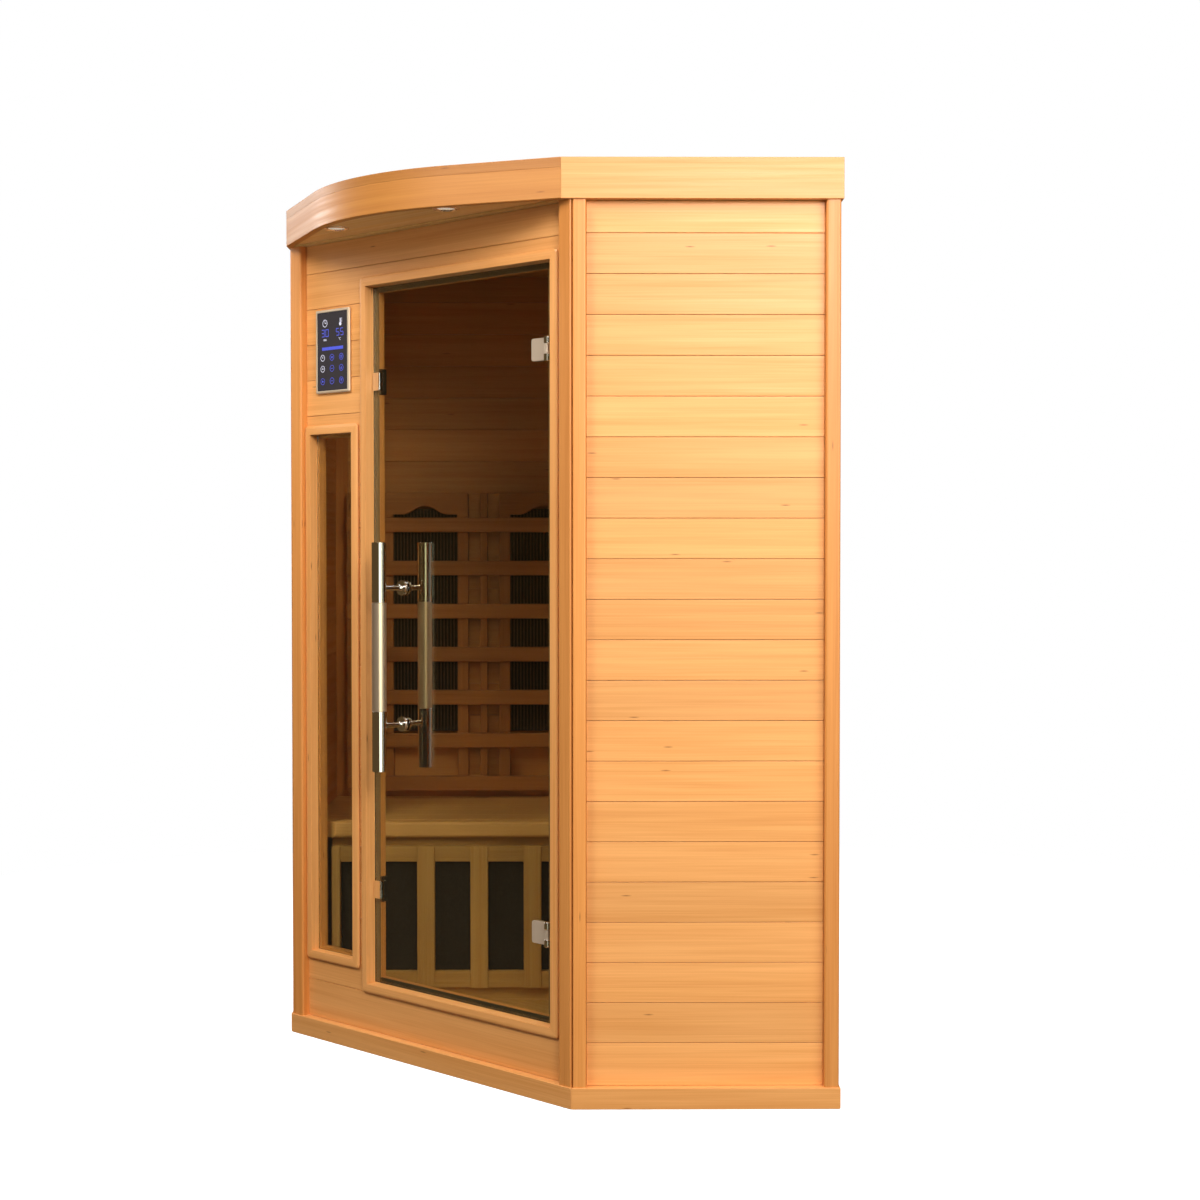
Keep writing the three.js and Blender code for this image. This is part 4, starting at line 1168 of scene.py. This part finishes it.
# Stage: camera, floor, lamps and a white surround
cameraLook = {"place": (3.2856, frontY - 2.7877, 1.1219), "azimuth": 44.542, "down": 1.444, "lens": 59.76}


def placeCamera():
    data = bpy.data.cameras.new("camera")
    data.lens = cameraLook["lens"]
    data.sensor_width = 36
    data.clip_end = 100
    camera = bpy.data.objects.new("camera", data)
    bpy.context.scene.collection.objects.link(camera)
    turn = Matrix.Rotation(math.radians(cameraLook["azimuth"]), 4, "Z")
    tilt = Matrix.Rotation(math.radians(90 - cameraLook["down"]), 4, "X")
    camera.matrix_world = Matrix.Translation(cameraLook["place"]) @ turn @ tilt
    bpy.context.scene.camera = camera


floorLook = {"size": 14, "albedo": 0.8, "bounce": 0.1, "lift": 0.6, "near": 1.2, "far": 3.0, "drop": 0.0004}


def rayKinds(tree):
    path = addNode(tree, "LightPath").outputs
    mirrored = calculate(tree, "MAXIMUM", path["Is Glossy Ray"], path["Is Transmission Ray"])
    bounces = calculate(tree, "ADD", path["Diffuse Depth"], path["Glossy Depth"])
    straight = calculate(tree, "LESS_THAN", bounces, 0.5)
    throughPane = calculate(tree, "MULTIPLY", path["Is Transmission Ray"], straight)
    return calculate(tree, "MAXIMUM", path["Is Camera Ray"], throughPane), mirrored


def makeFloor():
    bm = startPiece()
    bmesh.ops.create_grid(bm, x_segments=2, y_segments=2, size=floorLook["size"])
    bmesh.ops.translate(bm, vec=(0, 0, -floorLook["drop"]), verts=bm.verts)
    mesh = bpy.data.meshes.new("floor")
    bm.to_mesh(mesh)
    bm.free()
    floor = bpy.data.objects.new("floor", mesh)
    bpy.context.scene.collection.objects.link(floor)
    finish, tree, shader = newFinish("floor")
    tree.nodes.remove(shader)
    spot = addNode(tree, "TexCoord").outputs["Object"]
    distance = addNode(tree, "VectorMath", {0: spot}, operation="LENGTH").outputs["Value"]
    fade = remap(tree, distance, floorLook["near"], floorLook["far"], 0.0, 1.0)
    camera, mirrored = rayKinds(tree)
    albedo = addNode(tree, "Mix", {0: camera, 2: floorLook["bounce"], 3: floorLook["albedo"]}).outputs[0]
    lit = addNode(tree, "BsdfDiffuse", {"Color": albedo}).outputs[0]
    lift = calculate(tree, "MULTIPLY", camera, floorLook["lift"])
    lifted = addNode(tree, "AddShader", {0: lit, 1: addNode(tree, "Emission", {"Strength": lift}).outputs[0]})
    white = addNode(tree, "Emission", {"Strength": 1.0}).outputs[0]
    faded = calculate(tree, "MULTIPLY", fade, camera)
    mixed = addNode(tree, "MixShader", {0: faded, 1: lifted.outputs[0], 2: white}).outputs[0]
    tree.links.new(mixed, tree.nodes["Material Output"].inputs["Surface"])
    mesh.materials.append(finish)
    floor.visible_glossy = False


lampLook = {
    "high": {"azimuth": 58, "height": 2.8, "reach": 4.3, "size": 1.5, "watts": 107},
    "side": {"azimuth": 84, "height": 1.9, "reach": 3.0, "size": 1.4, "watts": 37},
    "front": {"azimuth": 4, "height": 4.0, "reach": 3.9, "size": 2.0, "watts": 136},
    "top": {"azimuth": 45, "height": 4.2, "reach": 0.8, "size": 2.6, "watts": 34},
    "left": {"azimuth": -75, "height": 2.6, "reach": 3.5, "size": 1.2, "watts": 35},
    "low": {"azimuth": -25, "height": 0.4, "reach": 2.6, "size": 0.5, "watts": 0.9,
            "aim": (-0.2, -0.62, 1.85), "spread": 50, "mirrored": False},
    "back": {"azimuth": 215, "height": 3.4, "reach": 3.9, "size": 2.2, "watts": 75, "mirrored": False},
}
lampColour = (1, 0.985, 0.96)
lampAim = (0, 0, 1.0)


def addLamp(name, look):
    data = bpy.data.lights.new(name, "AREA")
    data.shape = "DISK"
    data.size = look["size"]
    data.energy = look["watts"]
    data.color = lampColour
    data.spread = math.radians(look.get("spread", 180))
    lamp = bpy.data.objects.new(name, data)
    bpy.context.scene.collection.objects.link(lamp)
    turn = math.radians(look["azimuth"])
    place = Vector((math.sin(turn) * look["reach"], -math.cos(turn) * look["reach"], look["height"]))
    facing = (place - Vector(look.get("aim", lampAim))).to_track_quat("Z", "Y")
    lamp.matrix_world = Matrix.Translation(place) @ facing.to_matrix().to_4x4()
    lamp.visible_camera = False
    lamp.visible_glossy = look.get("mirrored", True)


worldLook = {
    "fill": (0.24, 0.233, 0.226),
    "room": (0.09, 0.056, 0.023), "strip": (1.9, 2.0, 1.6),  # what mirrors and panes show
    "stripAzimuth": 72, "stripFrom": 0.92, "stripTo": 0.965,
}


def makeWorld():
    world = bpy.data.worlds.new("studio")
    bpy.context.scene.world = world
    world.use_nodes = True
    tree = world.node_tree
    tree.nodes.clear()
    camera, mirrored = rayKinds(tree)
    toward = addNode(tree, "TexCoord").outputs["Generated"]
    look = worldLook
    turn = math.radians(look["stripAzimuth"])
    middle = (math.sin(turn), -math.cos(turn), 0)
    facing = addNode(tree, "VectorMath", {0: toward, 1: middle}, operation="DOT_PRODUCT").outputs["Value"]
    strip = remap(tree, facing, look["stripFrom"], look["stripTo"], 0.0, 1.0)
    mirrors = mixColours(tree, strip, (*look["room"], 1), (*look["strip"], 1))
    colour = mixColours(tree, mirrored, (*look["fill"], 1), mirrors)
    colour = mixColours(tree, camera, colour, (1, 1, 1, 1))
    background = addNode(tree, "Background", {"Color": colour}).outputs[0]
    output = addNode(tree, "OutputWorld")
    tree.links.new(background, output.inputs["Surface"])


placeCamera()
makeFloor()
for name, look in lampLook.items():
    addLamp(name, look)
makeWorld()
bpy.context.scene.view_settings.view_transform = "Standard"
print("stage made")
